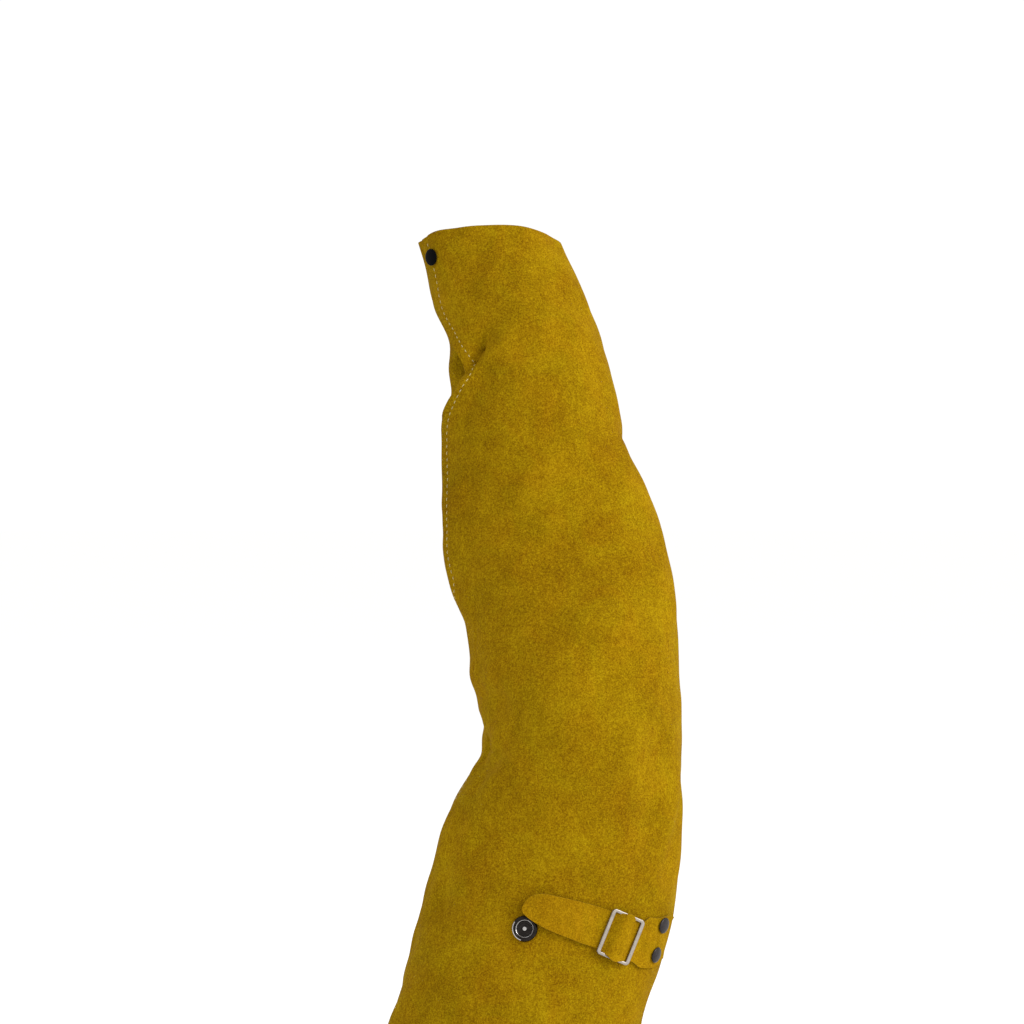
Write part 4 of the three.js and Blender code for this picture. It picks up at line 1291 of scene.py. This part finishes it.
ring_snap = turned_part(
    "ring_snap", ring_profile, course_frame(STRAP_LENGTH - SNAP_BACK, SNAP_ASIDE),
    [black_nickel, painted_highlight_nickel], bands=painted_highlight_bands,
)
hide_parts("arm_snap")

# %% [markdown]
# At the wrist a black enamelled cap closes the vent. Its post holds a socket behind the
# flap, and the socket takes the stud on the underlap. Enamel is a hard paint, glossy when it
# is new. This one is worn dull, so its black is never quite even and its highlight is faint.

# %% Black enamel
def black_enamel(name):
    """Black enamel, handled until it is dull."""
    return grained_material(
        name, "#030303", "#0A0A0B", 1.6, {"IOR": 1.5, "Specular IOR Level": 0.03},
        detail=4.0, fineness=0.7, relief=(0.1, 0.05), dulling=(0.42, 0.6),
    )[0]


enamel = black_enamel("black_enamel")

# %% Wrist snap
CAP_RADIUS = 6.0
CAP_DOME = 1.6
SOCKET_RADIUS = 5.2
SOCKET_WEB = 0.7
SOCKET_PLAY = 0.6
BORE_GAP = 0.35


def plain_sheet(angle, at):
    return sheet_point(angle, at, dressed=False)


wrist_place = frame_on(plain_sheet, snap_angle, snap_at)
socket_top = -WALL - INNER_GAP
socket_bottom = socket_top - SOCKET_DEPTH
cap_profile = [
    (0.0, socket_top - SOCKET_WEB),
    (STUD_RADIUS + SOCKET_PLAY, socket_top - SOCKET_WEB),
    (STUD_RADIUS + SOCKET_PLAY, socket_bottom),
    (SOCKET_RADIUS, socket_bottom),
    (SOCKET_RADIUS, socket_top),
    (SHANK_RADIUS, socket_top),
    (SHANK_RADIUS, 0.1),
    (CAP_RADIUS * 0.9, 0.2),
    (CAP_RADIUS, SEAT_GAP),
    (CAP_RADIUS, SEAT_GAP + HEAD_BRIM),
    *dome(CAP_RADIUS, SEAT_GAP + HEAD_BRIM, CAP_DOME - HEAD_BRIM),
]
cap = turned_part("wrist_cap", cap_profile, wrist_place, [enamel])
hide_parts("wrist_snap_cap")

underlap = -WALL - SNAP_ROOM
head_top = -WALL - INNER_GAP - SOCKET_WEB - BORE_GAP
stud_flange = underlap - WALL - INNER_GAP
stud_flare = STUD_RADIUS - SHANK_RADIUS
stud_profile = [
    (0.0, stud_flange - METAL_SHEET),
    (SOCKET_RADIUS, stud_flange - METAL_SHEET),
    (SOCKET_RADIUS, stud_flange),
    (SHANK_RADIUS, stud_flange),
    (SHANK_RADIUS, underlap + SEAT_GAP),
    (STUD_RADIUS, underlap + SEAT_GAP + stud_flare),
    (STUD_RADIUS, head_top - stud_flare),
    (SHANK_RADIUS, head_top),
    (0.0, head_top),
]
stud = turned_part("wrist_stud", stud_profile, wrist_place, [black_nickel], bevel=0.12)
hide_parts("wrist_snap_stud")

# %% [markdown]
# ## Stage and light
# The photograph has a plain white ground and soft light from all sides, a little stronger
# from the right. A pale paper floor under a white sky gives the ground, and one large soft
# lamp gives the brighter right side.

# %% Floor
def paper(name):
    """Matt studio paper: white pulp, pressed almost flat."""
    return grained_material(
        name, "#FAFAF9", "#FCFCFB", 60, {"Roughness": 1.0, "Specular IOR Level": 0.0}
    )[0]


FLOOR_HALF = 60000.0
floor_level = cad_low[2] / MM - 1.0
corners = [(-1, -1), (1, -1), (1, 1), (-1, 1)]
floor = new_mesh_object(
    "floor",
    [(x * FLOOR_HALF, y * FLOOR_HALF, floor_level) for x, y in corners],
    [(0, 1, 2, 3)],
    [paper("studio_paper")],
)

# %% Light
scene = bpy.context.scene
scene.view_settings.view_transform = "Standard"
world = bpy.data.worlds.new("white_studio")
world.use_nodes = True
sky = world.node_tree.nodes["Background"]
sky.inputs["Color"].default_value = (1.0, 1.0, 1.0, 1.0)
sky.inputs["Strength"].default_value = 1.04
scene.world = world


def soft_lamp(name, place, aim, size, watts):
    lamp_data = bpy.data.lights.new(name, "AREA")
    lamp_data.size = size
    lamp_data.energy = watts
    lamp = bpy.data.objects.new(name, lamp_data)
    lamp.location = place
    lamp.rotation_euler = (Vector(aim) - Vector(place)).to_track_quat("-Z", "Y").to_euler()
    bpy.context.collection.objects.link(lamp)
    return lamp


soft_lamp("key", (2.2, -1.1, 1.3), (0.0, 0.0, 0.3), 1.2, 55.0)
print("lights set")
